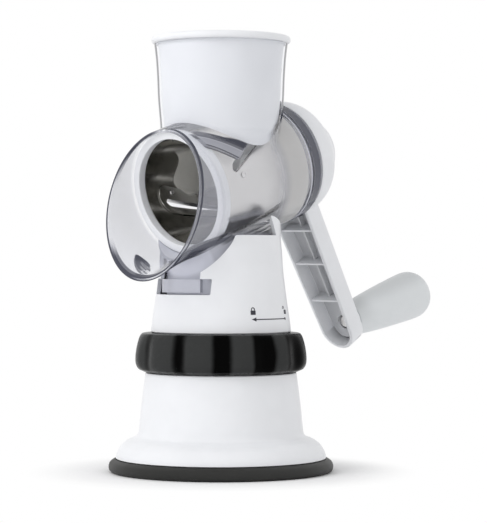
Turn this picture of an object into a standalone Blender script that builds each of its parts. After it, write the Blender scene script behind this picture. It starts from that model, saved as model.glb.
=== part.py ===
"""Hand cranked vegetable cutter with a vacuum foot.

A conical stand holds a rubber suction pad.  A black lock ring on the stand turns a cam,
and the cam lifts the stem that pulls the middle of the pad up.  A clear housing plugs
into the top of the stand.  It carries the cutting drum, the crank and the hopper.

Metres, +Z up.  The origin is the centre of the pad's flat underside.  The mouth of the
drum faces -Y and the crank is at +Y.  The drum's axis leans down towards the mouth.
Pieces on that axis are drawn in its own frame: x across, y down, z from mouth to crank.
"""
from math import asin, atan2, cos, hypot, pi, radians, sin, tan

import bmesh
import bpy
import numpy as np
from mathutils import Matrix, Vector

# Clearances
GAP = 0.0003            # between faces that rest on each other
RUNNING_GAP = 0.0004    # between a turning or sliding piece and its bearing
SLIP_GAP = 0.0005       # wider gap where a hand takes pieces apart

# Facets round a full turn
STEPS_LARGE = 40
STEPS_MEDIUM = 26
STEPS_SMALL = 12

# Suction pad and lower base
PAD_RADIUS = 0.0700
PAD_SOLE_INSET = 0.0025
PAD_RIM_LAND = 0.0045
PAD_RIM_SLOPE = 0.0020
PAD_HEIGHT = 0.0080
PAD_MIDDLE_HEIGHT = 0.0050
PAD_BOSS_RADIUS = 0.0140
BASE_FOOT_RADIUS = 0.0655
BASE_FLANGE_HEIGHT = 0.0140
BASE_CONE_LOW_RADIUS = 0.0514
BASE_WAIST_RADIUS = 0.0499
BASE_WAIST_HEIGHT = 0.0380
BASE_CONE_TOP_RADIUS = 0.0472
BASE_TOP = 0.0613
BASE_WALL = 0.0026
SPIGOT_RADIUS = 0.0420
SPIGOT_TOP = 0.0720
LEDGE_THICK = 0.0026
LEDGE_BORE = 0.0300

# Posts that carry the stand on the lower base, through slots in the lock ring
POST_COUNT = 3
POST_CIRCLE = 0.0350
POST_RADIUS = 0.0038
SCREW_SHANK = 0.0015
SCREW_HEAD = 0.0031
SCREW_HEAD_HEIGHT = 0.0022
SCREW_LENGTH = 0.0120

# Guide plate, stem, cross pin and spring of the vacuum foot
GUIDE_PLATE_BOTTOM = 0.0260
GUIDE_PLATE_THICK = 0.0030
GUIDE_TUBE_OUTER = 0.0150
GUIDE_TUBE_WALL = 0.0025
GUIDE_TUBE_TOP = 0.0720
GUIDE_POST_COUNT = 4
GUIDE_POST_CIRCLE = 0.0425
STEM_RADIUS = 0.0050
STEM_FOOT_RADIUS = 0.0120
STEM_FOOT_THICK = 0.0030
STEM_TOP = 0.0665
CROSS_PIN_RADIUS = 0.0020
CROSS_PIN_HEIGHT = 0.0610
CROSS_PIN_REACH = 0.0144
STEM_LIFT = 0.0050
SPRING_RADIUS = 0.0085
SPRING_WIRE = 0.0007
SPRING_CURLS = 5
SPRING_POINTS = 10

# Lock ring
RING_TURN = radians(60.0)
RING_RADIUS = 0.0539
RING_BOTTOM = 0.0616
RING_TOP = 0.0863
RING_LOBES = 12
RING_FLUTE_DEPTH = 0.0022
RING_WEB_BOTTOM = 0.0730
RING_WEB_THICK = 0.0028
RING_HUB_BOTTOM = 0.0560

# Stand
STAND_FLOOR = 0.0793
STAND_FLOOR_THICK = 0.0025
STAND_FLOOR_BORE = 0.0080
STAND_SHOULDER = 0.0867
STAND_FOOT_RADIUS = 0.0436
STAND_TOP_RADIUS = 0.0372
STAND_TOP = 0.1640
STAND_TAPER = 1.7
STAND_WALL = 0.0026
STAND_SIDE_TOP = 0.1465
STAND_LEDGE_HEIGHT = 0.1068
STAND_LEDGE_THICK = 0.0030
STAND_LEDGE_BORE = 0.0290
CRADLE_RADIUS = 0.0436
FRONT_ARCH_RADIUS = 0.0322
FRONT_ARCH_HEIGHT = 0.1511
FRONT_SLOT_HALF = 0.0173
FRONT_WINDOW_HALF = 0.0237
FRONT_WINDOW_BOTTOM = 0.1101
FRONT_WINDOW_TOP = 0.1198
PRONG_SLANT = radians(28.0)
PRONG_FRONT_Y = 0.0133

# Drum axis
AXIS_TILT = radians(14.3)
MOUTH_Y = -0.0374
MOUTH_Z = 0.1721

# Clear housing, lengths along the drum axis from the drum's front ring
TUBE_MOUTH_RADIUS = 0.0413
TUBE_REAR_RADIUS = 0.0387
TUBE_WALL = 0.0022
TUBE_LENGTH = 0.0915
SPOUT_LENGTH = 0.0500
SPOUT_FLARE = radians(5.9)
SPOUT_TOP_AHEAD = 0.0022
SPOUT_TOP_RADIUS = 0.0411
SPOUT_BOTTOM_AHEAD = 0.0438
SPOUT_BOTTOM_RADIUS = 0.0454
REAR_WALL = 0.0022
SKIRT_RADIUS = 0.0340
SKIRT_WALL = 0.0020

# Chute of the clear housing and the hopper that hangs in it
CHUTE_WALL = 0.0018
CHUTE_NECK_RADIUS = 0.0377
CHUTE_NECK_HEIGHT = 0.2130
CHUTE_WAIST_RADIUS = 0.0392
CHUTE_WAIST_HEIGHT = 0.0180  # above the neck
CHUTE_STEP_RADIUS = 0.0397
CHUTE_STEP_HEIGHT = 0.0124  # above the waist
CHUTE_FLARE_RADIUS = 0.0405
CHUTE_FLARE_HEIGHT = 0.0126  # above the step
CHUTE_MOUTH_RADIUS = 0.0416
HOPPER_HEIGHT = 0.2703
HOPPER_BEAD = 0.0044
HOPPER_RIM_RADIUS = 0.0433
HOPPER_WALL = 0.0020

# Cutting drum
DRUM_RADIUS = 0.0344
DRUM_REAR_RADIUS = 0.0333
DRUM_WALL = 0.0010
DRUM_FRONT = 0.0053
DRUM_REAR = 0.0862
DRUM_RING_RADIUS = 0.0384
DRUM_RING_BORE = 0.0335
DRUM_RING_DEPTH = 0.0067
DRUM_HUB_THICK = 0.0050
DRUM_SOCKET_RADIUS = 0.0105
DRUM_SOCKET_FRONT = 0.0660
SLOT_COUNT = 4
SLOT_FRONT = 0.0180
SLOT_LENGTH = 0.0565
SLOT_WIDTH = 0.0064
SLOT_REST = radians(163.5)
SLOT_TWIST = 13.1       # radians of turn for each metre towards the crank
BLADE_THICK = 0.0007
BLADE_LAND = 0.0088
BLADE_OVERRUN = 0.0035  # how far the blade reaches past each end of its slot
BLADE_REACH = 0.0010    # how far its lip reaches over the slot
BLADE_RISE = 0.0008     # how far its edge stands off the drum
RIVET_RADIUS = 0.0010
RIVET_HEAD = 0.0006
RIVET_INSET = 0.0070    # from a slot's end

# Shaft and crank
SHAFT_RADIUS = 0.0060
SHAFT_FRONT = 0.0690
SHAFT_REAR = 0.1118
BUSHING_WALL = 0.0020
BUSHING_FLANGE = 0.0120
CRANK_FRONT = 0.0929
CRANK_HUB_RADIUS = 0.0373
CRANK_HUB_WALL = 0.0026
CRANK_BOSS_RADIUS = 0.0098
CAP_RADIUS = 0.0203
CAP_SEAT = 0.1196
CAP_TOP = 0.1275
CRANK_RADIUS = 0.1173
CRANK_REST = radians(-0.7)
ARM_LEAN = 0.30
ARM_ORIGIN = 0.0830
ARM_HUB_HALF = 0.0171
ARM_END_RADIUS = 0.0130
ARM_OVERRUN = 0.0042     # from the pin to the centre of the arm's round end
ARM_DEPTH = 0.0124
ARM_WALL = 0.0022
ARM_RIB = 0.0012
ARM_RIBS = (0.0506, 0.0757, 0.1038)
PIN_HOLE_RADIUS = 0.0048
KNOB_FRONT = 0.1340
KNOB_LENGTH = 0.0720
KNOB_NEAR_RADIUS = 0.0121
KNOB_FAR_RADIUS = 0.0161
AXLE_RADIUS = 0.0040
AXLE_HEAD = 0.0044


def clear_scene():
    for thing in list(bpy.data.objects):
        bpy.data.objects.remove(thing, do_unlink=True)


def new_collection(name):
    made = bpy.data.collections.new(name)
    bpy.context.scene.collection.children.link(made)
    return made


clear_scene()
PARTS = new_collection("vegetable_cutter")
CUTTERS = new_collection("cutters")


def finish_material(name, colour, roughness, metallic=0.0, transmission=0.0):
    made = bpy.data.materials.new(name)
    made.use_nodes = True
    shader = made.node_tree.nodes["Principled BSDF"]
    shader.inputs["Base Color"].default_value = (*colour, 1.0)
    shader.inputs["Roughness"].default_value = roughness
    shader.inputs["Metallic"].default_value = metallic
    shader.inputs["Transmission Weight"].default_value = transmission
    return made


WHITE = finish_material("white_plastic", (0.84, 0.85, 0.87), 0.35)
BLACK = finish_material("black_plastic", (0.02, 0.02, 0.02), 0.30)
RUBBER = finish_material("rubber", (0.04, 0.04, 0.035), 0.70)
CLEAR = finish_material("clear_plastic", (0.75, 0.76, 0.80), 0.08, 0.0, 0.9)
STEEL = finish_material("stainless_steel", (0.62, 0.61, 0.60), 0.22, 1.0)
GREY = finish_material("grey_plastic", (0.62, 0.64, 0.66), 0.45)


def empty(name, parent=None, place=Matrix.Identity(4)):
    made = bpy.data.objects.new(name, None)
    PARTS.objects.link(made)
    made.parent = parent
    made.matrix_local = place
    return made


TO_DRUM = Matrix.Translation((0, MOUTH_Y, MOUTH_Z)) @ Matrix.Rotation(AXIS_TILT - pi / 2, 4, "X")
DRUM_AXIS = empty("drum_axis", None, TO_DRUM)
CRANK_AXIS = empty("crank_axis", DRUM_AXIS, Matrix.Rotation(-CRANK_REST, 4, "Z"))
ARM_SHEAR = atan2(ARM_LEAN, 1.0)
AXIS_HEIGHT = MOUTH_Z - MOUTH_Y * tan(AXIS_TILT)    # of the drum axis above the stand's own axis
TO_ARM = Matrix.Translation((0, 0, ARM_ORIGIN)) @ Matrix.Rotation(ARM_SHEAR, 4, "X")
ARM_FRAME = empty("arm_frame", CRANK_AXIS, TO_ARM)
TO_KNOB = Matrix.Translation((0, CRANK_RADIUS, 0))
KNOB_AXIS = empty("knob_axis", CRANK_AXIS, TO_KNOB)


def place_object(name, mesh, parent, collection):
    made = bpy.data.objects.new(name, mesh)
    collection.objects.link(made)
    made.parent = parent
    return made


def downwards(profile):
    """The same closed profile, running down its outer side so that its faces point out."""
    following = profile[1:] + profile[:1]
    area = sum(r0 * z1 - r1 * z0 for (r0, z0), (r1, z1) in zip(profile, following))
    return profile if area < 0 else profile[::-1]


def turned(name, profile, steps, parent=None, collection=None, turn=2 * pi):
    """A profile of (radius, height) swept round local Z."""
    mesh = bpy.data.meshes.new(name)
    profile = downwards(profile)
    points = [(radius, 0.0, height) for radius, height in profile]
    edges = [(i, (i + 1) % len(points)) for i in range(len(points))]
    if profile[0][0] == 0.0 and profile[-1][0] == 0.0:
        edges = edges[:-1]
    mesh.from_pydata(points, edges, [])
    made = place_object(name, mesh, parent, collection or PARTS)
    screw = made.modifiers.new("turn", "SCREW")
    screw.steps = steps
    screw.render_steps = steps
    screw.angle = turn
    screw.axis = "Z"
    screw.use_merge_vertices = True
    screw.merge_threshold = 0.00001
    return bake(made)


def bake(made):
    """Replace an object's mesh by what its modifiers make of it."""
    bpy.context.view_layer.update()
    graph = bpy.context.evaluated_depsgraph_get()
    mesh = bpy.data.meshes.new_from_object(made.evaluated_get(graph))
    mesh.name = made.name
    made.modifiers.clear()
    made.data = mesh
    return made


def primitive(name, builder, matrix, parent, collection):
    mesh = bpy.data.meshes.new(name)
    work = bmesh.new()
    builder(work)
    bmesh.ops.transform(work, matrix=matrix, verts=work.verts)
    work.to_mesh(mesh)
    work.free()
    return place_object(name, mesh, parent, collection or PARTS)


def box(name, low, high, parent=None, collection=None, turn=None):
    """A box between two corners, turned about its own centre."""
    low, high = Vector(low), Vector(high)
    size = high - low
    scale = Matrix.Diagonal((size.x, size.y, size.z, 1.0))
    matrix = Matrix.Translation((low + high) / 2) @ (turn or Matrix.Identity(4)) @ scale
    return primitive(name, lambda work: bmesh.ops.create_cube(work, size=1.0), matrix, parent, collection)


def rod(name, radius, low, high, steps, centre=(0.0, 0.0), parent=None, collection=None,
        far_radius=None, turn=None):
    """A cylinder or cone along local Z between two heights."""
    far = radius if far_radius is None else far_radius

    def build(work):
        bmesh.ops.create_cone(work, cap_ends=True, segments=steps, radius1=radius, radius2=far,
                              depth=high - low)

    matrix = Matrix.Translation((*centre, (low + high) / 2))
    return primitive(name, build, (turn or Matrix.Identity(4)) @ matrix, parent, collection)


def cutter(made):
    made.hide_render = True
    made.display_type = "WIRE"
    return made


def combine(made, other, operation):
    """Boolean of two objects, kept in the first one."""
    step = made.modifiers.new(operation.lower(), "BOOLEAN")
    step.operation = operation
    step.solver = "EXACT"
    step.object = other
    bake(made)
    return made


def cut(made, *others):
    for other in others:
        combine(made, other, "DIFFERENCE")
        bpy.data.objects.remove(other, do_unlink=True)
    return made


def join(made, *others):
    for other in others:
        combine(made, other, "UNION")
        bpy.data.objects.remove(other, do_unlink=True)
    return made


def dress(made, material, sharp=radians(32.0)):
    """Give a finished piece its material and smooth shading between sharp edges."""
    made.data.materials.clear()
    made.data.materials.append(material)
    made.data.shade_smooth()
    made.data.set_sharp_from_angle(angle=sharp)
    return made


def ring_of(count, circle, first=0.0):
    """Centres spaced evenly on a circle."""
    step = 2 * pi / count
    return [(circle * cos(first + i * step), circle * sin(first + i * step)) for i in range(count)]


# Suction pad: flat sole, thin middle that can be drawn up, thick rim under the base

def suction_pad():
    rim_outer = BASE_FOOT_RADIUS + (PAD_RADIUS - BASE_FOOT_RADIUS) * 0.18
    rim_inner = BASE_FOOT_RADIUS - PAD_RIM_LAND
    profile = [
        (0.0, PAD_HEIGHT), (PAD_BOSS_RADIUS, PAD_HEIGHT), (PAD_BOSS_RADIUS, PAD_MIDDLE_HEIGHT),
        (rim_inner - PAD_RIM_SLOPE, PAD_MIDDLE_HEIGHT), (rim_inner, PAD_HEIGHT), (rim_outer, PAD_HEIGHT),
        (PAD_RADIUS - PAD_SOLE_INSET * 0.36, PAD_HEIGHT * 0.72), (PAD_RADIUS, PAD_HEIGHT * 0.45),
        (PAD_RADIUS - PAD_SOLE_INSET * 0.20, PAD_HEIGHT * 0.18), (PAD_RADIUS - PAD_SOLE_INSET, 0.0),
        (0.0, 0.0),
    ]
    return dress(turned("suction_pad", profile, STEPS_LARGE), RUBBER)


# Lower base: domed flange, cone, spigot for the lock ring, posts for the stand

def base_outline():
    """Outer side of the lower base, bottom to top."""
    flange = BASE_FLANGE_HEIGHT
    foot = PAD_HEIGHT + GAP
    span = BASE_FOOT_RADIUS - BASE_CONE_LOW_RADIUS
    dome = [(BASE_FOOT_RADIUS - span * share, foot + flange * rise)
            for share, rise in ((0.0, 0.0), (0.06, 0.25), (0.27, 0.60), (0.47, 0.78), (0.82, 0.93),
                                (1.0, 1.10))]
    return dome + [(BASE_WAIST_RADIUS, BASE_WAIST_HEIGHT), (BASE_CONE_TOP_RADIUS, BASE_TOP)]


def lower_base():
    outline = base_outline()
    inner = [(radius - BASE_WALL, height - 0.0006) for radius, height in outline[2:-1]]
    ledge_bottom = BASE_TOP - LEDGE_THICK
    foot = PAD_HEIGHT + GAP
    profile = [
        (LEDGE_BORE, BASE_TOP), (SPIGOT_RADIUS - BASE_WALL, BASE_TOP),
        (SPIGOT_RADIUS - BASE_WALL, SPIGOT_TOP), (SPIGOT_RADIUS, SPIGOT_TOP), (SPIGOT_RADIUS, BASE_TOP),
    ]
    profile += outline[::-1]
    profile += [(BASE_FOOT_RADIUS - BASE_WALL - 0.0008, foot)]
    profile += inner
    profile += [(BASE_CONE_TOP_RADIUS - BASE_WALL + 0.0002, ledge_bottom), (LEDGE_BORE, ledge_bottom)]
    made = turned("lower_base", profile, STEPS_LARGE)
    posts = [rod("post", POST_RADIUS, BASE_TOP - 0.001, STAND_FLOOR - GAP, STEPS_SMALL, centre)
             for centre in ring_of(POST_COUNT, POST_CIRCLE, pi / 2)]
    low = GUIDE_PLATE_BOTTOM + GUIDE_PLATE_THICK + GAP
    posts += [rod("guide_post", POST_RADIUS, low, BASE_TOP - 0.001, STEPS_SMALL, centre)
              for centre in ring_of(GUIDE_POST_COUNT, GUIDE_POST_CIRCLE, pi / 4)]
    join(made, *posts)
    depth = SCREW_LENGTH + 0.001
    holes = [rod("hole", SCREW_SHANK + GAP, STAND_FLOOR - depth, STAND_FLOOR + 0.001, 10, centre)
             for centre in ring_of(POST_COUNT, POST_CIRCLE, pi / 2)]
    holes += [rod("hole", SCREW_SHANK + GAP, low - 0.001, low + depth, 10, centre)
              for centre in ring_of(GUIDE_POST_COUNT, GUIDE_POST_CIRCLE, pi / 4)]
    cut(made, *holes)
    return dress(made, WHITE)


# Guide plate: keeps the stem upright and stops its cross pin from turning

def guide_plate():
    top = GUIDE_PLATE_BOTTOM + GUIDE_PLATE_THICK
    tube_inner = GUIDE_TUBE_OUTER - GUIDE_TUBE_WALL
    bore = STEM_RADIUS + RUNNING_GAP
    plate_radius = GUIDE_POST_CIRCLE + POST_RADIUS
    profile = [
        (tube_inner, GUIDE_TUBE_TOP), (GUIDE_TUBE_OUTER, GUIDE_TUBE_TOP), (GUIDE_TUBE_OUTER, top),
        (plate_radius, top), (plate_radius, GUIDE_PLATE_BOTTOM), (bore, GUIDE_PLATE_BOTTOM),
        (bore, top), (tube_inner, top),
    ]
    made = turned("guide_plate", profile, STEPS_MEDIUM)
    half = CROSS_PIN_RADIUS + RUNNING_GAP
    slot = box("slot", (-0.03, -half, CROSS_PIN_HEIGHT - half), (0.03, half, GUIDE_TUBE_TOP + 0.001))
    holes = [rod("hole", SCREW_SHANK + GAP, GUIDE_PLATE_BOTTOM - 0.001, top + 0.001, 10, centre)
             for centre in ring_of(GUIDE_POST_COUNT, GUIDE_POST_CIRCLE, pi / 4)]
    cut(made, slot, *holes)
    return dress(made, GREY)


def screw_profile(seat, length, down=True):
    """Pan head screw with its seat at a height, pointing down or up."""
    way = 1 if down else -1
    head = seat + way * SCREW_HEAD_HEIGHT
    points = [(0.0, head), (SCREW_HEAD * 0.7, head), (SCREW_HEAD, seat + way * SCREW_HEAD_HEIGHT * 0.5),
              (SCREW_HEAD, seat), (SCREW_SHANK, seat), (SCREW_SHANK, seat - way * length),
              (0.0, seat - way * (length + SCREW_SHANK))]
    return points


def screws(name, count, circle, first, seat, length, down):
    for i, centre in enumerate(ring_of(count, circle, first)):
        piece = turned("%s_%d" % (name, i + 1), screw_profile(seat, length, down), 12)
        piece.location = (*centre, 0.0)
        dress(piece, STEEL)


def base_screws():
    seat = GUIDE_PLATE_BOTTOM - GAP
    screws("base_screw", GUIDE_POST_COUNT, GUIDE_POST_CIRCLE, pi / 4, seat,
           SCREW_LENGTH - 0.002, False)


def stand_screws():
    seat = STAND_FLOOR + STAND_FLOOR_THICK + GAP
    screws("stand_screw", POST_COUNT, POST_CIRCLE, pi / 2, seat, SCREW_LENGTH - 0.002, True)


# Stem, cross pin and spring that lift the middle of the pad

def lift_stem():
    foot = PAD_HEIGHT + GAP
    profile = [
        (0.0, STEM_TOP), (STEM_RADIUS - 0.0006, STEM_TOP), (STEM_RADIUS, STEM_TOP - 0.0006),
        (STEM_RADIUS, foot + STEM_FOOT_THICK), (STEM_FOOT_RADIUS, foot + STEM_FOOT_THICK),
        (STEM_FOOT_RADIUS, foot), (0.0, foot),
    ]
    made = turned("lift_stem", profile, 20)
    across = Matrix.Rotation(pi / 2, 4, "Y")
    hole = rod("hole", CROSS_PIN_RADIUS + GAP, -0.01, 0.01, 12,
               turn=Matrix.Translation((0, 0, CROSS_PIN_HEIGHT)) @ across)
    return dress(cut(made, hole), STEEL)


def cross_pin():
    across = Matrix.Translation((0, 0, CROSS_PIN_HEIGHT)) @ Matrix.Rotation(pi / 2, 4, "Y")
    made = rod("cross_pin", CROSS_PIN_RADIUS, -CROSS_PIN_REACH, CROSS_PIN_REACH, 12, turn=across)
    return dress(made, STEEL)


def stem_spring():
    """Coil between the stem's foot and the guide plate, one unbroken wire."""
    low = PAD_HEIGHT + GAP + STEM_FOOT_THICK + GAP + SPRING_WIRE
    high = GUIDE_PLATE_BOTTOM - GAP - SPRING_WIRE
    count = SPRING_CURLS * SPRING_POINTS + 1
    turns = np.linspace(0.0, SPRING_CURLS, count)
    points = np.stack([SPRING_RADIUS * np.cos(2 * pi * turns), SPRING_RADIUS * np.sin(2 * pi * turns),
                       low + (high - low) * turns / SPRING_CURLS], axis=1)
    apart = np.linalg.norm(points[:, None] - points[None], axis=2)
    far = np.abs(np.subtract.outer(np.arange(count), np.arange(count))) > SPRING_POINTS // 2
    print("stem_spring least gap %.2f mm" % ((apart[far].min() - 2 * SPRING_WIRE) * 1000))
    curve = bpy.data.curves.new("stem_spring", "CURVE")
    curve.dimensions = "3D"
    curve.bevel_depth = SPRING_WIRE
    curve.bevel_resolution = 1
    curve.use_fill_caps = True
    spline = curve.splines.new("POLY")
    spline.points.add(count - 1)
    for point, place in zip(spline.points, points):
        point.co = (*place, 1.0)
    wire = place_object("stem_spring_wire", curve, None, PARTS)
    bpy.context.view_layer.update()
    graph = bpy.context.evaluated_depsgraph_get()
    mesh = bpy.data.meshes.new_from_object(wire.evaluated_get(graph))
    bpy.data.objects.remove(wire, do_unlink=True)
    work = bmesh.new()
    work.from_mesh(mesh)
    bmesh.ops.remove_doubles(work, verts=work.verts, dist=0.00001)
    work.to_mesh(mesh)
    work.free()
    return dress(place_object("stem_spring", mesh, None, PARTS), STEEL)


# Lock ring: fluted grip, web with three slots for the posts, cam hub round the stem

def ring_grip_profile():
    bore = SPIGOT_RADIUS + RUNNING_GAP
    web_top = RING_WEB_BOTTOM + RING_WEB_THICK
    hub_outer = GUIDE_TUBE_OUTER - GUIDE_TUBE_WALL - RUNNING_GAP
    hub_inner = STEM_RADIUS + RUNNING_GAP
    outside = [(-0.0082, 0.0), (-0.0049, -0.0004), (-0.0028, -0.0024), (-0.0009, -0.0072),
               (0.0, -0.0125), (0.0, -0.0175), (-0.0009, -0.0205), (-0.0034, -0.0230)]
    grip = [(RING_RADIUS + inward, RING_TOP + drop) for inward, drop in outside]
    return ([(bore + 0.0002, RING_TOP)] + grip
            + [(BASE_CONE_TOP_RADIUS + 0.0006, RING_BOTTOM), (bore, RING_BOTTOM),
               (bore, RING_WEB_BOTTOM), (hub_outer, RING_WEB_BOTTOM), (hub_outer, RING_HUB_BOTTOM),
               (hub_inner, RING_HUB_BOTTOM), (hub_inner, web_top), (bore + 0.0002, web_top)])


def flute(made):
    """Press shallow hollows into the grip, deepest midway between two lobes."""
    band = RING_TOP - RING_BOTTOM
    smooth_from = BASE_CONE_TOP_RADIUS
    for vertex in made.data.vertices:
        x, y, z = vertex.co
        radius = hypot(x, y)
        if radius < smooth_from + 0.001:
            continue
        share = min(1.0, (radius - smooth_from) / (RING_RADIUS - smooth_from))
        wave = 0.5 - 0.5 * cos(RING_LOBES * atan2(y, x))
        height = sin(pi * (z - RING_BOTTOM) / band) ** 0.5 if RING_BOTTOM < z < RING_TOP else 0.0
        scale = 1.0 - RING_FLUTE_DEPTH * share * wave ** 2 * height / radius
        vertex.co.x = x * scale
        vertex.co.y = y * scale
    return made


def post_slots():
    """Arc slots in the web, as long as the posts need when the ring turns."""
    clear = POST_RADIUS + SLIP_GAP
    half = asin(clear / POST_CIRCLE) + radians(1.0)
    inner = POST_CIRCLE - clear
    outer = POST_CIRCLE + clear
    low = RING_WEB_BOTTOM - 0.002
    high = RING_WEB_BOTTOM + RING_WEB_THICK + 0.002
    made = []
    for i in range(POST_COUNT):
        start = pi / 2 + i * 2 * pi / POST_COUNT - RING_TURN - half
        piece = turned("slot", [(inner, high), (outer, high), (outer, low), (inner, low)], 10,
                       collection=CUTTERS, turn=RING_TURN + 2 * half)
        made.append(capped(turned_by(piece, start)))
    return made


def turned_by(made, angle):
    made.rotation_euler.z = angle
    return made


def capped(made):
    """Close the two ends of a part turn."""
    work = bmesh.new()
    work.from_mesh(made.data)
    edges = [edge for edge in work.edges if len(edge.link_faces) == 1]
    bmesh.ops.holes_fill(work, edges=edges, sides=0)
    bmesh.ops.recalc_face_normals(work, faces=work.faces)
    work.to_mesh(made.data)
    work.free()
    return cutter(made)


def cam_slots():
    """The cross pin's path through the cam hub as the ring turns under it."""
    made = []
    steps = 6
    reach = GUIDE_TUBE_OUTER
    clear = CROSS_PIN_RADIUS + RUNNING_GAP
    for i in range(steps + 1):
        share = i / steps
        height = CROSS_PIN_HEIGHT + STEM_LIFT * share
        turn = (Matrix.Rotation(-RING_TURN * share, 4, "Z") @ Matrix.Translation((0, 0, height))
                @ Matrix.Rotation(pi / 2, 4, "Y"))
        made.append(rod("cam_path", clear, -reach, reach, 10, turn=turn, collection=CUTTERS))
    return made


def lock_ring():
    made = flute(turned("lock_ring", ring_grip_profile(), RING_LOBES * 5))
    cut(made, *post_slots())
    cut(made, *cam_slots())
    return dress(made, BLACK)


# Stand: cone with a cradle for the tube, an arch and a window at its front

def stand_outline():
    """Outer side of the stand, bottom to top, a cone that steepens towards its top."""
    count = 7
    points = []
    for i in range(count):
        share = i / (count - 1)
        height = STAND_SHOULDER + (STAND_TOP - STAND_SHOULDER) * share
        radius = STAND_TOP_RADIUS + (STAND_FOOT_RADIUS - STAND_TOP_RADIUS) * (1 - share) ** STAND_TAPER
        points.append((radius, height))
    return points


def stand():
    outline = stand_outline()
    floor_top = STAND_FLOOR + STAND_FLOOR_THICK
    collar_bottom = RING_WEB_BOTTOM + RING_WEB_THICK + 0.0010
    ledge_top = STAND_LEDGE_HEIGHT + STAND_LEDGE_THICK
    inner = [(radius - STAND_WALL, height) for radius, height in outline]
    below = [(radius, height) for radius, height in inner if height < STAND_LEDGE_HEIGHT - 0.001]
    above = [(radius, height) for radius, height in inner if height > ledge_top + 0.001]
    wall_at_ledge = np.interp(STAND_LEDGE_HEIGHT, [h for r, h in inner], [r for r, h in inner])
    profile = outline[::-1]
    profile += [(SPIGOT_RADIUS, STAND_SHOULDER), (SPIGOT_RADIUS, collar_bottom),
                (SPIGOT_RADIUS - BASE_WALL, collar_bottom), (SPIGOT_RADIUS - BASE_WALL, STAND_FLOOR),
                (STAND_FLOOR_BORE, STAND_FLOOR), (STAND_FLOOR_BORE, floor_top),
                (SPIGOT_RADIUS - BASE_WALL, floor_top)]
    profile += below
    profile += [(float(wall_at_ledge), STAND_LEDGE_HEIGHT), (STAND_LEDGE_BORE, STAND_LEDGE_HEIGHT),
                (STAND_LEDGE_BORE, ledge_top), (float(wall_at_ledge) - 0.0003, ledge_top)]
    profile += above
    made = turned("stand", profile, STEPS_LARGE)
    saddle = rod("saddle", CRADLE_RADIUS, -0.10, 0.20, STEPS_LARGE, parent=DRUM_AXIS)
    rise = 0.05
    across = empty("across", None, Matrix(((0, 0, 1, 0), (1, 0, 0, 0), (0, 1, 0, 0), (0, 0, 0, 1))))
    front = slab("front_step", [(-0.15, STAND_SIDE_TOP), (PRONG_FRONT_Y, STAND_SIDE_TOP),
                                (PRONG_FRONT_Y - rise * tan(PRONG_SLANT), STAND_SIDE_TOP + rise),
                                (-0.15, STAND_SIDE_TOP + rise)], -0.06, 0.06, across)
    arch = rod("front_arch", FRONT_ARCH_RADIUS, 0.0, 0.06, STEPS_MEDIUM,
               turn=Matrix.Translation((0, 0, FRONT_ARCH_HEIGHT)) @ Matrix.Rotation(pi / 2, 4, "X"))
    slot = box("front_slot", (-FRONT_SLOT_HALF, -0.06, FRONT_WINDOW_BOTTOM + 0.001),
               (FRONT_SLOT_HALF, -0.02, FRONT_ARCH_HEIGHT))
    window = box("front_window", (-FRONT_WINDOW_HALF, -0.06, FRONT_WINDOW_BOTTOM),
                 (FRONT_WINDOW_HALF, -0.02, FRONT_WINDOW_TOP))
    cut(made, saddle, front, arch, slot, window)
    holes = [rod("hole", SCREW_SHANK + GAP, STAND_FLOOR - 0.001, floor_top + 0.001, 10, centre)
             for centre in ring_of(POST_COUNT, POST_CIRCLE, pi / 2)]
    cut(made, *holes)
    return dress(made, WHITE)


# Clear housing: tube and spout, rear wall, skirt into the stand, tall chute for the hopper

def tube_radius(z):
    """Outer radius of the tube at a place along the drum axis."""
    return TUBE_MOUTH_RADIUS + (TUBE_REAR_RADIUS - TUBE_MOUTH_RADIUS) * z / TUBE_LENGTH


def spout_radius(ahead):
    return TUBE_MOUTH_RADIUS + tan(SPOUT_FLARE) * ahead


def tube_profile():
    rear = TUBE_LENGTH
    shaft_bore = SHAFT_RADIUS + RUNNING_GAP + BUSHING_WALL + GAP
    inner = REAR_WALL
    return [
        (shaft_bore, rear), (TUBE_REAR_RADIUS - 0.0014, rear), (TUBE_REAR_RADIUS, rear - 0.0030),
        (TUBE_MOUTH_RADIUS, 0.0), (spout_radius(SPOUT_LENGTH), -SPOUT_LENGTH),
        (spout_radius(SPOUT_LENGTH) - TUBE_WALL, -SPOUT_LENGTH), (TUBE_MOUTH_RADIUS - TUBE_WALL, 0.0),
        (tube_radius(rear - inner) - TUBE_WALL, rear - inner), (shaft_bore, rear - inner),
    ]


def tube_core(name):
    """A solid a little thinner than the tube, for trimming what joins it."""
    profile = [
        (0.0, 0.12), (TUBE_REAR_RADIUS - TUBE_WALL / 2, 0.12), (TUBE_REAR_RADIUS - TUBE_WALL / 2, TUBE_LENGTH),
        (TUBE_MOUTH_RADIUS - TUBE_WALL / 2, 0.0), (spout_radius(SPOUT_LENGTH) - TUBE_WALL / 2, -SPOUT_LENGTH),
        (0.0, -SPOUT_LENGTH),
    ]
    return turned(name, profile, STEPS_LARGE, DRUM_AXIS, CUTTERS)


def mouth_plane():
    """Half space in front of the spout's slanting rim."""
    rise = SPOUT_TOP_RADIUS + SPOUT_BOTTOM_RADIUS
    run = SPOUT_BOTTOM_AHEAD - SPOUT_TOP_AHEAD
    slope = atan2(run, rise)
    made = box("mouth_cut", (-0.1, -0.1, -0.1), (0.1, 0.1, 0.0), DRUM_AXIS, CUTTERS)
    made.matrix_local = (Matrix.Translation((0, -SPOUT_TOP_RADIUS, -SPOUT_TOP_AHEAD))
                         @ Matrix.Rotation(-slope, 4, "X"))
    return made


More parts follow.
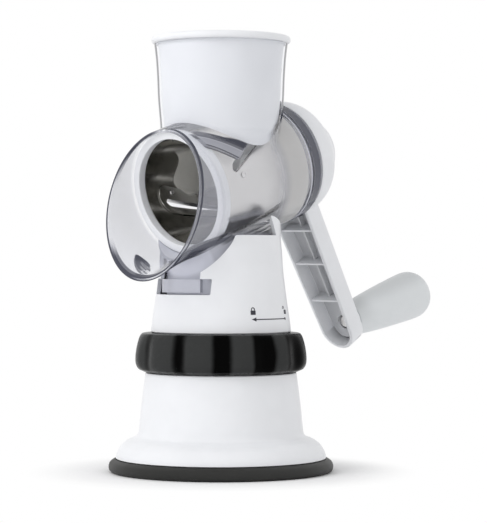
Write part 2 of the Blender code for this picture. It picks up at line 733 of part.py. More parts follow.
def clear_housing():
    made = cut(turned("clear_housing", tube_profile(), STEPS_LARGE, DRUM_AXIS), mouth_plane())
    bottom = STAND_LEDGE_HEIGHT + STAND_LEDGE_THICK + GAP
    skirt = turned("skirt", [(SKIRT_RADIUS - SKIRT_WALL, AXIS_HEIGHT), (SKIRT_RADIUS, AXIS_HEIGHT),
                             (SKIRT_RADIUS, bottom), (SKIRT_RADIUS - SKIRT_WALL, bottom)], STEPS_LARGE)
    cut(skirt, tube_core("skirt_trim"))
    chute = turned("chute", chute_outline(0.0) + chute_outline(CHUTE_WALL)[::-1], STEPS_LARGE)
    cut(chute, tube_core("chute_trim"))
    join(made, skirt, chute)
    throat = rod("throat", CHUTE_NECK_RADIUS - CHUTE_WALL - 0.0001, AXIS_HEIGHT, HOPPER_HEIGHT, STEPS_LARGE,
                 collection=CUTTERS)
    cut(made, throat)
    return dress(made, CLEAR)


def chute_outline(inset):
    """Side of the tall clear chute, top to bottom, moved inwards by a wall."""
    top = HOPPER_HEIGHT - HOPPER_BEAD - GAP
    waist = CHUTE_NECK_HEIGHT + CHUTE_WAIST_HEIGHT
    step = waist + CHUTE_STEP_HEIGHT
    flare = step + CHUTE_FLARE_HEIGHT
    return [(CHUTE_MOUTH_RADIUS - inset, top), (CHUTE_FLARE_RADIUS - inset, flare),
            (CHUTE_STEP_RADIUS - inset, step), (CHUTE_WAIST_RADIUS - inset, waist),
            (CHUTE_NECK_RADIUS - inset, CHUTE_NECK_HEIGHT), (CHUTE_NECK_RADIUS - inset, AXIS_HEIGHT)]


def hopper():
    """White insert that hangs in the chute by its beaded rim, cut at its foot to clear the drum."""
    rim = HOPPER_RIM_RADIUS
    top = HOPPER_HEIGHT
    bead = HOPPER_BEAD
    fit = CHUTE_WALL + SLIP_GAP
    outer = chute_outline(fit)
    inner = chute_outline(fit + HOPPER_WALL)
    lip = [(inner[0][0] + HOPPER_WALL * 0.27, top), (rim - bead * 0.39, top),
           (rim - bead * 0.09, top - bead * 0.16), (rim, top - bead * 0.45),
           (rim - bead * 0.09, top - bead * 0.82), (CHUTE_MOUTH_RADIUS, top - bead),
           (outer[0][0], top - bead)]
    made = turned("hopper", lip + outer[1:] + inner[::-1], STEPS_LARGE)
    saddle = turned("hopper_saddle", [(0.0, 0.13), (TUBE_REAR_RADIUS + GAP, 0.13),
                                      (TUBE_REAR_RADIUS + GAP, TUBE_LENGTH), (TUBE_MOUTH_RADIUS + GAP, 0.0),
                                      (TUBE_MOUTH_RADIUS + GAP, -0.06), (0.0, -0.06)],
                    STEPS_LARGE, DRUM_AXIS, CUTTERS)
    return dress(cut(made, saddle), WHITE)


# Cutting drum: front ring, steel drum with slanting slots, blades, rivets, rear hub

def drum_front_ring():
    bead = 0.0004
    seat = DRUM_RADIUS + GAP
    profile = [
        (DRUM_RING_BORE, 0.0), (DRUM_RING_BORE - 0.0002, DRUM_FRONT - GAP), (seat, DRUM_FRONT - GAP),
        (seat, DRUM_RING_DEPTH), (DRUM_RING_RADIUS, DRUM_RING_DEPTH), (DRUM_RING_RADIUS, bead),
        (DRUM_RING_RADIUS - bead, 0.0),
    ]
    return dress(turned("drum_front_ring", profile, STEPS_LARGE, DRUM_AXIS), WHITE)


def drum_radius(z):
    """Outer radius of the steel drum at a place along its axis."""
    return DRUM_RADIUS + (DRUM_REAR_RADIUS - DRUM_RADIUS) * (z - DRUM_FRONT) / (DRUM_REAR - DRUM_FRONT)


def slot_angles():
    """Angle of each slot's middle line at the slot's front end."""
    return [SLOT_REST + i * 2 * pi / SLOT_COUNT for i in range(SLOT_COUNT)]


def carried(name, sections, collection=None):
    """A closed outline of (radius, angle, z) carried from one station to the next."""
    points = np.array(sections, dtype=float)
    stations, corners = points.shape[:2]
    radius, angle, z = np.moveaxis(points.reshape(-1, 3), 1, 0)
    places = np.stack([radius * np.cos(angle), radius * np.sin(angle), z], axis=1)
    first = np.arange(stations - 1)[:, None] * corners
    here = np.arange(corners)[None]
    following = (here + 1) % corners
    quads = np.stack([first + here, first + following, first + corners + following,
                      first + corners + here], axis=2).reshape(-1, 4)
    ends = [list(range(corners))[::-1], list(range((stations - 1) * corners, stations * corners))]
    mesh = bpy.data.meshes.new(name)
    mesh.from_pydata(places.tolist(), [], quads.tolist() + ends)
    work = bmesh.new()
    work.from_mesh(mesh)
    bmesh.ops.triangulate(work, faces=work.faces)
    bmesh.ops.recalc_face_normals(work, faces=work.faces)
    work.to_mesh(mesh)
    work.free()
    return place_object(name, mesh, DRUM_AXIS, collection or PARTS)


def slot_line(start, z):
    """Angle of a slot's middle line at a place along the drum."""
    return start - SLOT_TWIST * (z - SLOT_FRONT)


def slot_cutter(start):
    half = SLOT_WIDTH / 2 / DRUM_RADIUS
    inside = DRUM_REAR_RADIUS * 0.85
    outside = DRUM_RADIUS * 1.15
    sections = []
    for z in np.linspace(SLOT_FRONT, SLOT_FRONT + SLOT_LENGTH, 9):
        middle = slot_line(start, z)
        sections.append([(inside, middle - half, z), (outside, middle - half, z),
                         (outside, middle + half, z), (inside, middle + half, z)])
    return carried("slot", sections, CUTTERS)


def rivet_places(start):
    """Angle and z of a blade's two rivets, on the land beside the slot."""
    aside = (SLOT_WIDTH / 2 + BLADE_LAND * 0.55) / DRUM_RADIUS
    return [(slot_line(start, z) + aside, z)
            for z in (SLOT_FRONT + RIVET_INSET, SLOT_FRONT + SLOT_LENGTH - RIVET_INSET)]


def outwards(angle, z):
    """Matrix whose Z points out of the drum at an angle and a place along it."""
    return (Matrix.Rotation(angle, 4, "Z") @ Matrix.Translation((0, 0, z))
            @ Matrix.Rotation(pi / 2, 4, "Y"))


def rivet_hole(angle, z):
    hole = rod("hole", RIVET_RADIUS + GAP, DRUM_REAR_RADIUS * 0.85, DRUM_RADIUS * 1.15, 8,
               parent=DRUM_AXIS, collection=CUTTERS)
    hole.matrix_local = outwards(angle, z)
    return hole


def cutting_drum():
    profile = [
        (DRUM_REAR_RADIUS - DRUM_WALL, DRUM_REAR), (DRUM_REAR_RADIUS, DRUM_REAR), (DRUM_RADIUS, DRUM_FRONT),
        (DRUM_RADIUS - DRUM_WALL, DRUM_FRONT),
    ]
    made = turned("cutting_drum", profile, STEPS_LARGE, DRUM_AXIS)
    cuts = []
    for start in slot_angles():
        cuts.append(slot_cutter(start))
        cuts += [rivet_hole(angle, z) for angle, z in rivet_places(start)]
    cut(made, *cuts)
    return dress(made, STEEL)


def blade_section(start, z, share, raised):
    """Outline of a blade: a land inside the wall and a lip that rises through the slot."""
    inner = (drum_radius(z) - DRUM_WALL) * cos(pi / STEPS_LARGE) - GAP
    edge = drum_radius(z) + BLADE_RISE
    middle = slot_line(start, z)
    land = (SLOT_WIDTH / 2 + BLADE_LAND * share) / DRUM_RADIUS
    root = (SLOT_WIDTH / 2 - BLADE_THICK) / DRUM_RADIUS
    lip = (SLOT_WIDTH / 2 - BLADE_THICK - BLADE_REACH) / DRUM_RADIUS
    top = inner + (edge - inner) * raised
    return [(inner - BLADE_THICK, middle + land, z), (inner - BLADE_THICK, middle + root, z),
            (top - BLADE_THICK * (1.0 - 0.7 * raised), middle + lip, z), (top, middle + lip, z),
            (inner, middle + root, z), (inner, middle + land, z)]


def slicing_blades():
    """A plate inside the wall at each slot, with a rounded end and a lip through the slot."""
    for i, start in enumerate(slot_angles()):
        low = SLOT_FRONT - BLADE_OVERRUN
        high = SLOT_FRONT + SLOT_LENGTH + BLADE_OVERRUN
        ends = ((0.0, 0.35, 0.0), (0.0010, 0.72, 0.0), (0.0025, 0.94, 0.0),
                (BLADE_OVERRUN + SLIP_GAP, 1.0, 0.0), (BLADE_OVERRUN + 0.0024, 1.0, 1.0))
        stations = [(low + inset, share, raised) for inset, share, raised in ends]
        run = np.linspace(low + BLADE_OVERRUN + 0.0024, high - BLADE_OVERRUN - 0.0024, 8)[1:-1]
        stations += [(float(z), 1.0, 1.0) for z in run]
        stations += [(high - inset, share, raised) for inset, share, raised in ends[::-1]]
        plate = carried("slicing_blade_%d" % (i + 1),
                        [blade_section(start, z, share, raised) for z, share, raised in stations])
        cut(plate, *[rivet_hole(angle, z) for angle, z in rivet_places(start)])
        dress(plate, STEEL)


def blade_rivets():
    count = 0
    for start in slot_angles():
        for angle, z in rivet_places(start):
            count += 1
            outer = drum_radius(z) + GAP
            inner = (drum_radius(z) - DRUM_WALL) * cos(pi / STEPS_LARGE) - BLADE_THICK - GAP * 2
            head = RIVET_RADIUS * 1.9
            profile = [(0.0, outer + RIVET_HEAD * 0.5), (head * 0.7, outer + RIVET_HEAD * 0.4),
                       (head, outer), (RIVET_RADIUS, outer), (RIVET_RADIUS, inner), (head, inner),
                       (head * 0.7, inner - RIVET_HEAD), (0.0, inner - RIVET_HEAD)]
            piece = turned("blade_rivet_%d" % count, profile, 8, DRUM_AXIS)
            piece.matrix_local = outwards(angle, z)
            dress(piece, STEEL)


def hex_bore(name, low, high, parent):
    """Six sided hole that takes the shaft with a slip gap."""
    return rod(name, (SHAFT_RADIUS + SLIP_GAP) / cos(pi / 6), low, high, 6, parent=parent, collection=CUTTERS)


def drum_hub():
    """Disc in the rear of the drum, with the socket that the shaft drives."""
    rear = DRUM_REAR - GAP
    front = rear - DRUM_HUB_THICK
    rim = drum_radius(DRUM_REAR) - DRUM_WALL - GAP
    profile = [
        (0.0, rear), (rim, rear), (rim, front), (DRUM_SOCKET_RADIUS, front),
        (DRUM_SOCKET_RADIUS, DRUM_SOCKET_FRONT), (DRUM_SOCKET_RADIUS - 0.001, DRUM_SOCKET_FRONT - 0.001),
        (0.0, DRUM_SOCKET_FRONT - 0.001),
    ]
    made = turned("drum_hub", profile, STEPS_MEDIUM, DRUM_AXIS)
    return dress(cut(made, hex_bore("socket", SHAFT_FRONT - SLIP_GAP, rear + 0.01, DRUM_AXIS)), WHITE)


# Shaft, bushing and crank

def shaft_bushing():
    inner = SHAFT_RADIUS / cos(pi / 6) + RUNNING_GAP
    outer = SHAFT_RADIUS + RUNNING_GAP + BUSHING_WALL
    wall_front = TUBE_LENGTH - REAR_WALL
    profile = [
        (inner, TUBE_LENGTH + 0.0010), (outer, TUBE_LENGTH + 0.0010), (outer, wall_front - GAP),
        (BUSHING_FLANGE, wall_front - GAP), (BUSHING_FLANGE, wall_front - GAP - 0.0016),
        (inner, wall_front - GAP - 0.0016),
    ]
    return dress(turned("shaft_bushing", profile, 24, DRUM_AXIS), GREY)


def drive_shaft():
    """Hexagonal shaft, tapped at its rear end for the crank screw."""
    made = rod("drive_shaft", SHAFT_RADIUS / cos(pi / 6), SHAFT_FRONT, SHAFT_REAR, 6, parent=CRANK_AXIS)
    bore = rod("tapping", SCREW_SHANK + GAP, SHAFT_REAR - SCREW_LENGTH, SHAFT_REAR + 0.01, 10,
               parent=CRANK_AXIS, collection=CUTTERS)
    return dress(cut(made, bore), STEEL)


def hub_outline():
    """Outer side of the crank's domed hub, front to rear."""
    full = CRANK_HUB_RADIUS
    return [(full - 0.0003, CRANK_FRONT), (full, CRANK_FRONT + 0.0028), (full - 0.0005, CRANK_FRONT + 0.0081),
            (full - 0.0028, CRANK_FRONT + 0.0139), (full - 0.0073, CRANK_FRONT + 0.0193),
            (full - 0.0115, CRANK_FRONT + 0.0238), (CAP_RADIUS + 0.0023, CAP_SEAT + 0.0014)]


def arm_outline(inset):
    """Plan of the arm: a tapered bar with a round end, as corners in its own plane."""
    hub = ARM_HUB_HALF - inset
    end = ARM_END_RADIUS - inset
    length = CRANK_RADIUS * hypot(1.0, ARM_LEAN) + ARM_OVERRUN
    start = 0.0060
    slope = asin((ARM_HUB_HALF - ARM_END_RADIUS) / (length - start))
    angles = np.linspace(-slope, pi + slope, 13)
    tip = [(end * cos(a), length + end * sin(a)) for a in angles]
    return [(-hub, start), (hub, start)] + tip


def slab(name, outline, low, high, parent, collection=None):
    """A flat outline made thick between two heights."""
    curve = bpy.data.curves.new(name, "CURVE")
    curve.dimensions = "2D"
    curve.fill_mode = "BOTH"
    curve.extrude = (high - low) / 2
    spline = curve.splines.new("POLY")
    spline.points.add(len(outline) - 1)
    for point, (x, y) in zip(spline.points, outline):
        point.co = (x, y, 0.0, 1.0)
    spline.use_cyclic_u = True
    shape = bpy.data.objects.new(name, curve)
    PARTS.objects.link(shape)
    bpy.context.view_layer.update()
    graph = bpy.context.evaluated_depsgraph_get()
    mesh = bpy.data.meshes.new_from_object(shape.evaluated_get(graph))
    bpy.data.objects.remove(shape, do_unlink=True)
    work = bmesh.new()
    work.from_mesh(mesh)
    bmesh.ops.remove_doubles(work, verts=work.verts, dist=0.00001)
    bmesh.ops.translate(work, vec=(0, 0, (low + high) / 2), verts=work.verts)
    bmesh.ops.recalc_face_normals(work, faces=work.faces)
    work.to_mesh(mesh)
    work.free()
    return place_object(name, mesh, parent, collection or PARTS)


def crank_arm():
    """Domed hub and channel arm in one moulding, open towards the stand."""
    outline = hub_outline()
    wall = CRANK_HUB_WALL
    seat_plate = CAP_SEAT - 0.0030
    inner = [(radius - wall, height - 0.0004) for radius, height in outline[1:-1]]
    profile = [
        (0.0, CAP_SEAT), (CAP_RADIUS + GAP, CAP_SEAT), (CAP_RADIUS + GAP, CAP_SEAT + 0.0022),
    ]
    profile += outline[::-1]
    profile += [(CRANK_HUB_RADIUS - wall - 0.0002, CRANK_FRONT)]
    profile += inner
    profile += [(CAP_RADIUS - 0.001, seat_plate), (CRANK_BOSS_RADIUS, seat_plate),
                (CRANK_BOSS_RADIUS, CRANK_FRONT + 0.0004), (0.0, CRANK_FRONT + 0.0004)]
    hub = turned("hub", profile, STEPS_LARGE, CRANK_AXIS)
    made = slab("crank_arm", arm_outline(0.0), 0.0, ARM_DEPTH, ARM_FRAME)
    pocket = slab("pocket", arm_outline(ARM_WALL), -0.01, ARM_DEPTH - ARM_WALL, ARM_FRAME)
    cut(made, pocket)
    ribs = []
    for along in ARM_RIBS:
        half = ARM_HUB_HALF - 0.0010 - (ARM_HUB_HALF - ARM_END_RADIUS) * along / CRANK_RADIUS
        ribs.append(box("rib", (-half, along - ARM_RIB / 2, 0.0012), (half, along + ARM_RIB / 2, ARM_DEPTH - 0.001),
                        ARM_FRAME))
    ribs.append(box("spine", (-ARM_RIB / 2, 0.02, ARM_DEPTH / 2), (ARM_RIB / 2, ARM_RIBS[-1], ARM_DEPTH - 0.001),
                    ARM_FRAME))
    join(made, *ribs)
    trim = turned("trim", hub_trim_profile(), STEPS_LARGE, CRANK_AXIS, CUTTERS)
    cut(made, trim)
    join(made, hub)
    web = ARM_ORIGIN + ARM_LEAN * CRANK_RADIUS + ARM_DEPTH
    boss = rod("boss", KNOB_NEAR_RADIUS, web - 0.002, KNOB_FRONT + 0.001, 24, parent=KNOB_AXIS)
    join(made, boss)
    seat = rod("grip_seat", KNOB_NEAR_RADIUS + 0.0010, KNOB_FRONT - GAP, KNOB_FRONT + 0.02, 24, parent=KNOB_AXIS,
               collection=CUTTERS)
    hole = rod("pin_hole", PIN_HOLE_RADIUS, ARM_ORIGIN, KNOB_FRONT + 0.01, 20, parent=KNOB_AXIS,
               collection=CUTTERS)
    shaft_hole = hex_bore("shaft_hole", CRANK_FRONT - 0.01, SHAFT_REAR + GAP, CRANK_AXIS)
    screw_hole = rod("screw_hole", SCREW_SHANK + GAP, SHAFT_REAR, CAP_SEAT + 0.01, 10, parent=CRANK_AXIS,
                     collection=CUTTERS)
    head_well = rod("head_well", SCREW_HEAD + SLIP_GAP, SHAFT_REAR + 0.0030, CAP_SEAT + 0.01, 16,
                    parent=CRANK_AXIS, collection=CUTTERS)
    cut(made, seat, hole, shaft_hole, screw_hole, head_well)
    return dress(made, WHITE)


def hub_trim_profile():
    """Space inside the dome and in front of it, where the arm's channel stops."""
    wall = CRANK_HUB_WALL / 2
    outline = hub_outline()
    inside = [(radius - wall, height - 0.0002) for radius, height in outline[1:]]
    top = CAP_SEAT - 0.0010
    return ([(0.0, top), (CAP_RADIUS, top)] + inside[::-1][1:]
            + [(CRANK_HUB_RADIUS - wall, CRANK_FRONT), (0.060, CRANK_FRONT), (0.060, 0.04), (0.0, 0.04)])


def crank_screw():
    seat = SHAFT_REAR + 0.0030 + GAP
    made = turned("crank_screw", screw_profile(seat, SCREW_LENGTH - 0.004), 16, CRANK_AXIS)
    return dress(made, STEEL)


def crank_cap():
    seat = CAP_SEAT + GAP
    crown = [(CAP_RADIUS * share, CAP_TOP - drop) for share, drop in
             ((0.0, 0.0), (0.45, 0.0003), (0.80, 0.0011), (0.95, 0.0022))]
    profile = crown + [(CAP_RADIUS, CAP_TOP - 0.0038), (CAP_RADIUS, seat), (0.0, seat)]
    return dress(turned("crank_cap", profile, STEPS_MEDIUM, CRANK_AXIS), WHITE)


def knob_grip():
    """Tapered grip, thickest towards its rounded free end, bored for the axle."""
    near, far, length = KNOB_NEAR_RADIUS, KNOB_FAR_RADIUS, KNOB_LENGTH
    rear = KNOB_FRONT + length
    bore = AXLE_RADIUS + RUNNING_GAP
    shape = ((0.0, 0.0), (0.45, 0.0), (0.78, 0.0012), (0.94, 0.0050), (1.0, 0.0115))
    end = [(far * share, rear - back) for share, back in shape]
    flank = [(far - (far - near) * 0.30, KNOB_FRONT + length * 0.55),
             (far - (far - near) * 0.72, KNOB_FRONT + length * 0.25), (near, KNOB_FRONT + 0.0008),
             (near - 0.0008, KNOB_FRONT)]
    well = [(bore, KNOB_FRONT), (bore, KNOB_FRONT + length * 0.7 + RUNNING_GAP),
            (0.0, KNOB_FRONT + length * 0.7 + RUNNING_GAP)]
    return dress(turned("knob_grip", end + flank + well, STEPS_MEDIUM, KNOB_AXIS), GREY)


def knob_axle():
    """Pin through the arm, its head in the channel, its shank inside the grip."""
    web_front = ARM_ORIGIN + ARM_LEAN * CRANK_RADIUS + ARM_DEPTH - ARM_WALL
    head = web_front - 0.0040
    profile = [
        (0.0, KNOB_FRONT + KNOB_LENGTH * 0.7), (AXLE_RADIUS, KNOB_FRONT + KNOB_LENGTH * 0.7),
        (AXLE_RADIUS, web_front + 0.0060), (AXLE_HEAD, web_front + 0.0055), (AXLE_HEAD, head + 0.0060),
        (AXLE_HEAD - 0.0008, head + 0.0052), (0.0, head + 0.0052),
    ]
    return dress(turned("knob_axle", profile, 20, KNOB_AXIS), STEEL)


def build():
    suction_pad()
    lower_base()
    guide_plate()
    base_screws()
    lift_stem()
    cross_pin()
    stem_spring()
    lock_ring()
    stand()
    stand_screws()
    clear_housing()
    shaft_bushing()
    hopper()
    drum_front_ring()
    cutting_drum()
    slicing_blades()
    blade_rivets()
    drum_hub()
    drive_shaft()
    crank_arm()
    crank_screw()
    crank_cap()
    knob_grip()
    knob_axle()


build()
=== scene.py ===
"""Looks of a hand cranked vegetable cutter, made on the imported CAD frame.

The visible pieces are surfaces worked out with numpy, and the small fixings are the CAD
nodes with new finishes.  Metres, +Z up, the mouth of the drum faces -Y and leans down.
Pieces on the drum's axis are drawn in its own frame: x across, y down, z from mouth to crank.
"""
from math import atan2, cos, hypot, pi, radians, sin, tan

import bmesh
import bpy
import numpy as np
from bpy.props import FloatProperty, FloatVectorProperty, IntProperty, PointerProperty
from mathutils import Matrix, Vector


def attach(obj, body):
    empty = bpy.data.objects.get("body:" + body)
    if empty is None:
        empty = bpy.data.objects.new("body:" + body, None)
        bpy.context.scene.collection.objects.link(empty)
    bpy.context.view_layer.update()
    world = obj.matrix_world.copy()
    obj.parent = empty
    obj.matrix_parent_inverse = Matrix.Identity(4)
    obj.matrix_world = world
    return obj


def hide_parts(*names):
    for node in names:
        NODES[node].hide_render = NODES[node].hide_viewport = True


bl_info = {
    "name": "Vegetable cutter looks",
    "version": (1, 0, 0),
    "blender": (4, 5, 0),
    "location": "View3D > Sidebar > Cutter",
    "description": "Builds the visible pieces, finishes and studio of a hand cranked vegetable cutter",
    "category": "Object",
}

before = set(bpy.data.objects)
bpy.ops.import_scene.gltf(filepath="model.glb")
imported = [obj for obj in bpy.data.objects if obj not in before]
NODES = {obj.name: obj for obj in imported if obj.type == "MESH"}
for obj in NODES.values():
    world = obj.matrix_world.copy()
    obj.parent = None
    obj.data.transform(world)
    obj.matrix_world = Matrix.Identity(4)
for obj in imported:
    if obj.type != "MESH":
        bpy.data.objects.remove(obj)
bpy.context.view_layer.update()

# Frames of the leaning drum, the crank on it, its arm and its grip
LEAN = radians(14.3)
MOUTH = (0.0, -0.0374, 0.1721)
STAND_FRAME = Matrix.Identity(4)
DRUM_FRAME = Matrix.Translation(MOUTH) @ Matrix.Rotation(LEAN - pi / 2, 4, "X")
CRANK_FRAME = DRUM_FRAME @ Matrix.Rotation(radians(0.7), 4, "Z")
ARM_RISE = 0.30
ARM_FOOT = 0.0830
ARM_FRAME = CRANK_FRAME @ Matrix.Translation((0, 0, ARM_FOOT)) @ Matrix.Rotation(atan2(ARM_RISE, 1.0), 4, "X")
CRANK_RADIUS = 0.1173
GRIP_FRAME = CRANK_FRAME @ Matrix.Translation((0, CRANK_RADIUS, 0))
AXIS_HEIGHT = MOUTH[2] - MOUTH[1] * tan(LEAN)
UP = Vector((0, 0, 1))

# Sizes that more than one piece shares
SOCKET_HALF = 0.0065
POST_CIRCLE = 0.0350
LOCK_TURN = 60.0
STAND_WALL = 0.0026
CHUTE_WALL = 0.0018
TUBE_WALL = 0.0022
TUBE_REAR = 0.0915
RING_PASSAGE = 0.0387
SPOUT_RADIUS = 0.0402
SPOUT_START = 0.003
RIM_SLOPE = 0.4608
RIM_RADIUS = 0.0411
RIM_HEIGHT = 0.0022
PRINT_BACK = 0.00002
WHITE_LIGHT = (1.0, 1.0, 1.0, 1.0)


# Curves and grids

def rounded(corners, bends, steps=5):
    """A closed outline of straight sides whose corners are parabolas.

    With a and b the points one bend's length before and after a corner c, the corner is
    p(t) = (1 - t)^2 a + 2 t (1 - t) c + t^2 b for t from 0 to 1.
    """
    corner = np.asarray(corners, dtype=float)
    before = np.roll(corner, 1, axis=0) - corner
    after = np.roll(corner, -1, axis=0) - corner
    length_before = np.linalg.norm(before, axis=1)
    length_after = np.linalg.norm(after, axis=1)
    bend = np.minimum(np.broadcast_to(np.asarray(bends, dtype=float), len(corner)),
                      0.49 * np.minimum(length_before, length_after))[:, None]
    first = corner + before / length_before[:, None] * bend
    last = corner + after / length_after[:, None] * bend
    t = np.linspace(0.0, 1.0, steps + 1)[None, :, None]
    arcs = (1 - t) ** 2 * first[:, None] + 2 * t * (1 - t) * corner[:, None] + t ** 2 * last[:, None]
    line = arcs.reshape(-1, 2)
    apart = np.linalg.norm(line - np.roll(line, 1, axis=0), axis=1) > 1e-7
    return line[apart]


def through(points, steps=8):
    """A smooth curve through points p0, p1, p2, p3 and so on, each stretch a cubic.

    p(t) = p1 + t (p2 - p0) / 2 + t^2 (p0 - 5 p1 / 2 + 2 p2 - p3 / 2) + t^3 (3 p1 - p0 - 3 p2 + p3) / 2
    """
    place = np.asarray(points, dtype=float)
    p1, p2 = place[:-1, None], place[1:, None]
    p0 = np.vstack([2 * place[:1] - place[1:2], place[:-2]])[:, None]
    p3 = np.vstack([place[2:], 2 * place[-1:] - place[-2:-1]])[:, None]
    t = (np.arange(steps) / steps)[None, :, None]
    line = (p1 + t * (p2 - p0) / 2 + t ** 2 * (p0 - 2.5 * p1 + 2 * p2 - 0.5 * p3)
            + t ** 3 * (3 * p1 - p0 - 3 * p2 + p3) / 2)
    return np.vstack([line.reshape(-1, place.shape[1]), place[-1:]])


def placed(points, frame):
    """Points moved into a frame: q = R p + t."""
    turn = np.array(frame.to_3x3())
    return np.asarray(points, dtype=float) @ turn.T + np.array(frame.translation)


def surface(name, points, caps=False):
    """A grid of (row, column) points made a mesh, closed along both, or capped at its two ends.

    Face (i, j) joins points (i, j), (i + 1, j), (i + 1, j + 1) and (i, j + 1).
    """
    rows, columns = points.shape[:2]
    i = np.arange(rows - 1 if caps else rows)[:, None]
    j = np.arange(columns)[None]
    over, across = (i + 1) % rows, (j + 1) % columns
    quads = np.stack([i * columns + j, over * columns + j, over * columns + across, i * columns + across],
                     axis=2).reshape(-1, 4)
    faces = quads.tolist()
    if caps:
        faces += [list(range(columns)), list(range((rows - 1) * columns, rows * columns))[::-1]]
    mesh = bpy.data.meshes.new(name)
    mesh.from_pydata(points.reshape(-1, 3).tolist(), [], faces)
    made = bpy.data.objects.new(name, mesh)
    bpy.context.scene.collection.objects.link(made)
    return weld(made)


def weld(made):
    """Merge the points that meet at poles and seams, and point every face outwards."""
    work = bmesh.new()
    work.from_mesh(made.data)
    bmesh.ops.remove_doubles(work, verts=work.verts, dist=1e-6)
    bmesh.ops.delete(work, geom=[edge for edge in work.edges if not edge.link_faces], context="EDGES")
    bmesh.ops.recalc_face_normals(work, faces=work.faces)
    work.to_mesh(made.data)
    work.free()
    return made


def round_points(radius, angle, height):
    """Points round the Z axis: x = r cos a, y = r sin a, z = h."""
    return np.stack(np.broadcast_arrays(radius * np.cos(angle), radius * np.sin(angle), height), axis=-1)


def lathe(name, outline, frame=STAND_FRAME, steps=None, ripple=None):
    """A closed outline of (radius r, height h) carried round the frame's Z axis.

    A ripple may first change the radius with the angle.
    """
    line = np.asarray(outline, dtype=float)
    steps = steps or bpy.context.scene.cutter_shape.steps
    angle = (np.arange(steps) * 2 * pi / steps)[None]
    radius, height = line[:, :1], line[:, 1:]
    if ripple:
        radius = ripple(radius, angle, height)
    return surface(name, placed(round_points(radius, angle, height), frame))


def prism(name, outline, low, high, frame=STAND_FRAME):
    """A closed outline of (x, y) carried straight along the frame's Z from low to high."""
    line = np.asarray(outline, dtype=float)
    ends = [np.column_stack([line, np.full(len(line), height)]) for height in (low, high)]
    return surface(name, placed(np.stack(ends), frame), caps=True)


def block(name, low, high, frame=STAND_FRAME):
    """A plain box between two corners, used for cutting."""
    (x0, y0, z0), (x1, y1, z1) = low, high
    return prism(name, [(x0, y0), (x1, y0), (x1, y1), (x0, y1)], z0, z1, frame)


def arc(radius, angle, centre=(0.0, 0.0)):
    """Points at some angles round a centre: c + r (cos a, sin a)."""
    return np.stack([centre[0] + radius * np.cos(angle), centre[1] + radius * np.sin(angle)], axis=1)


def circle(radius, steps, centre=(0.0, 0.0)):
    """Points evenly round a centre."""
    return arc(radius, np.arange(steps) * 2 * pi / steps, centre)


def pins(centres, radius, steps, low, high):
    """Upright pins at some centres, to join or to cut with."""
    return [prism("pin", circle(radius, steps, centre), low, high) for centre in centres]


def six_sided(low, high, frame):
    """The drive shaft's six sided space."""
    return prism("socket", circle(SOCKET_HALF / cos(pi / 6), 6), low, high, frame)


STAND_SCREWS = circle(POST_CIRCLE, 3) @ [[0, 1], [-1, 0]]
BASE_SCREWS = circle(0.0425, 4) @ [[cos(pi / 4), sin(pi / 4)], [-sin(pi / 4), cos(pi / 4)]]


def applied(made):
    """The object with its modifiers made part of its mesh."""
    bpy.context.view_layer.update()
    graph = bpy.context.evaluated_depsgraph_get()
    mesh = bpy.data.meshes.new_from_object(made.evaluated_get(graph))
    mesh.name = made.name
    made.modifiers.clear()
    made.data = mesh
    return made


def combined(made, others, operation):
    """One object after a boolean with each of the others, which are used up."""
    for other in others:
        step = made.modifiers.new("join", "BOOLEAN")
        step.operation = operation
        step.solver = "EXACT"
        step.object = other
        applied(made)
        bpy.data.objects.remove(other, do_unlink=True)
    return made


def fused(made, *others):
    return combined(made, others, "UNION")


def carved(made, *others):
    return combined(made, others, "DIFFERENCE")


def eased(made, width):
    """Edges sharper than 40 degrees rounded off by a small bevel."""
    step = made.modifiers.new("ease", "BEVEL")
    step.limit_method = "ANGLE"
    step.angle_limit = radians(40.0)
    step.width = width
    step.segments = 3
    return applied(made)


def dressed(made, body, material, replaces=(), sharp=35.0):
    """Give a finished piece its finish and its shading, hang it on its body, and hide the CAD nodes it
    replaces.
    """
    made.data.materials.clear()
    made.data.materials.append(material)
    made.data.shade_smooth()
    made.data.set_sharp_from_angle(angle=radians(sharp))
    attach(made, body)
    if replaces:
        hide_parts(*replaces)
    return made


# Shader maths

class Value:
    """A shader socket that can be used in a formula."""

    def __init__(self, finish, socket):
        self.finish = finish
        self.socket = socket

    def __add__(self, other):
        return self.finish.maths("ADD", self, other)

    __radd__ = __add__

    def __sub__(self, other):
        return self.finish.maths("SUBTRACT", self, other)

    def __rsub__(self, other):
        return self.finish.maths("SUBTRACT", other, self)

    def __mul__(self, other):
        return self.finish.maths("MULTIPLY", self, other)

    __rmul__ = __mul__

    def __truediv__(self, other):
        return self.finish.maths("DIVIDE", self, other)

    def between(self, low, high):
        """0 below low, 1 above high, with a smooth rise in between."""
        return self.finish.add("ShaderNodeMapRange", {"interpolation_type": "SMOOTHSTEP"},
                               self, low, high, 0.0, 1.0)

    def band(self, low, full, fading, high):
        """0 below low, 1 from full to fading, and 0 again above high."""
        return self.between(low, full) * self.between(high, fading)


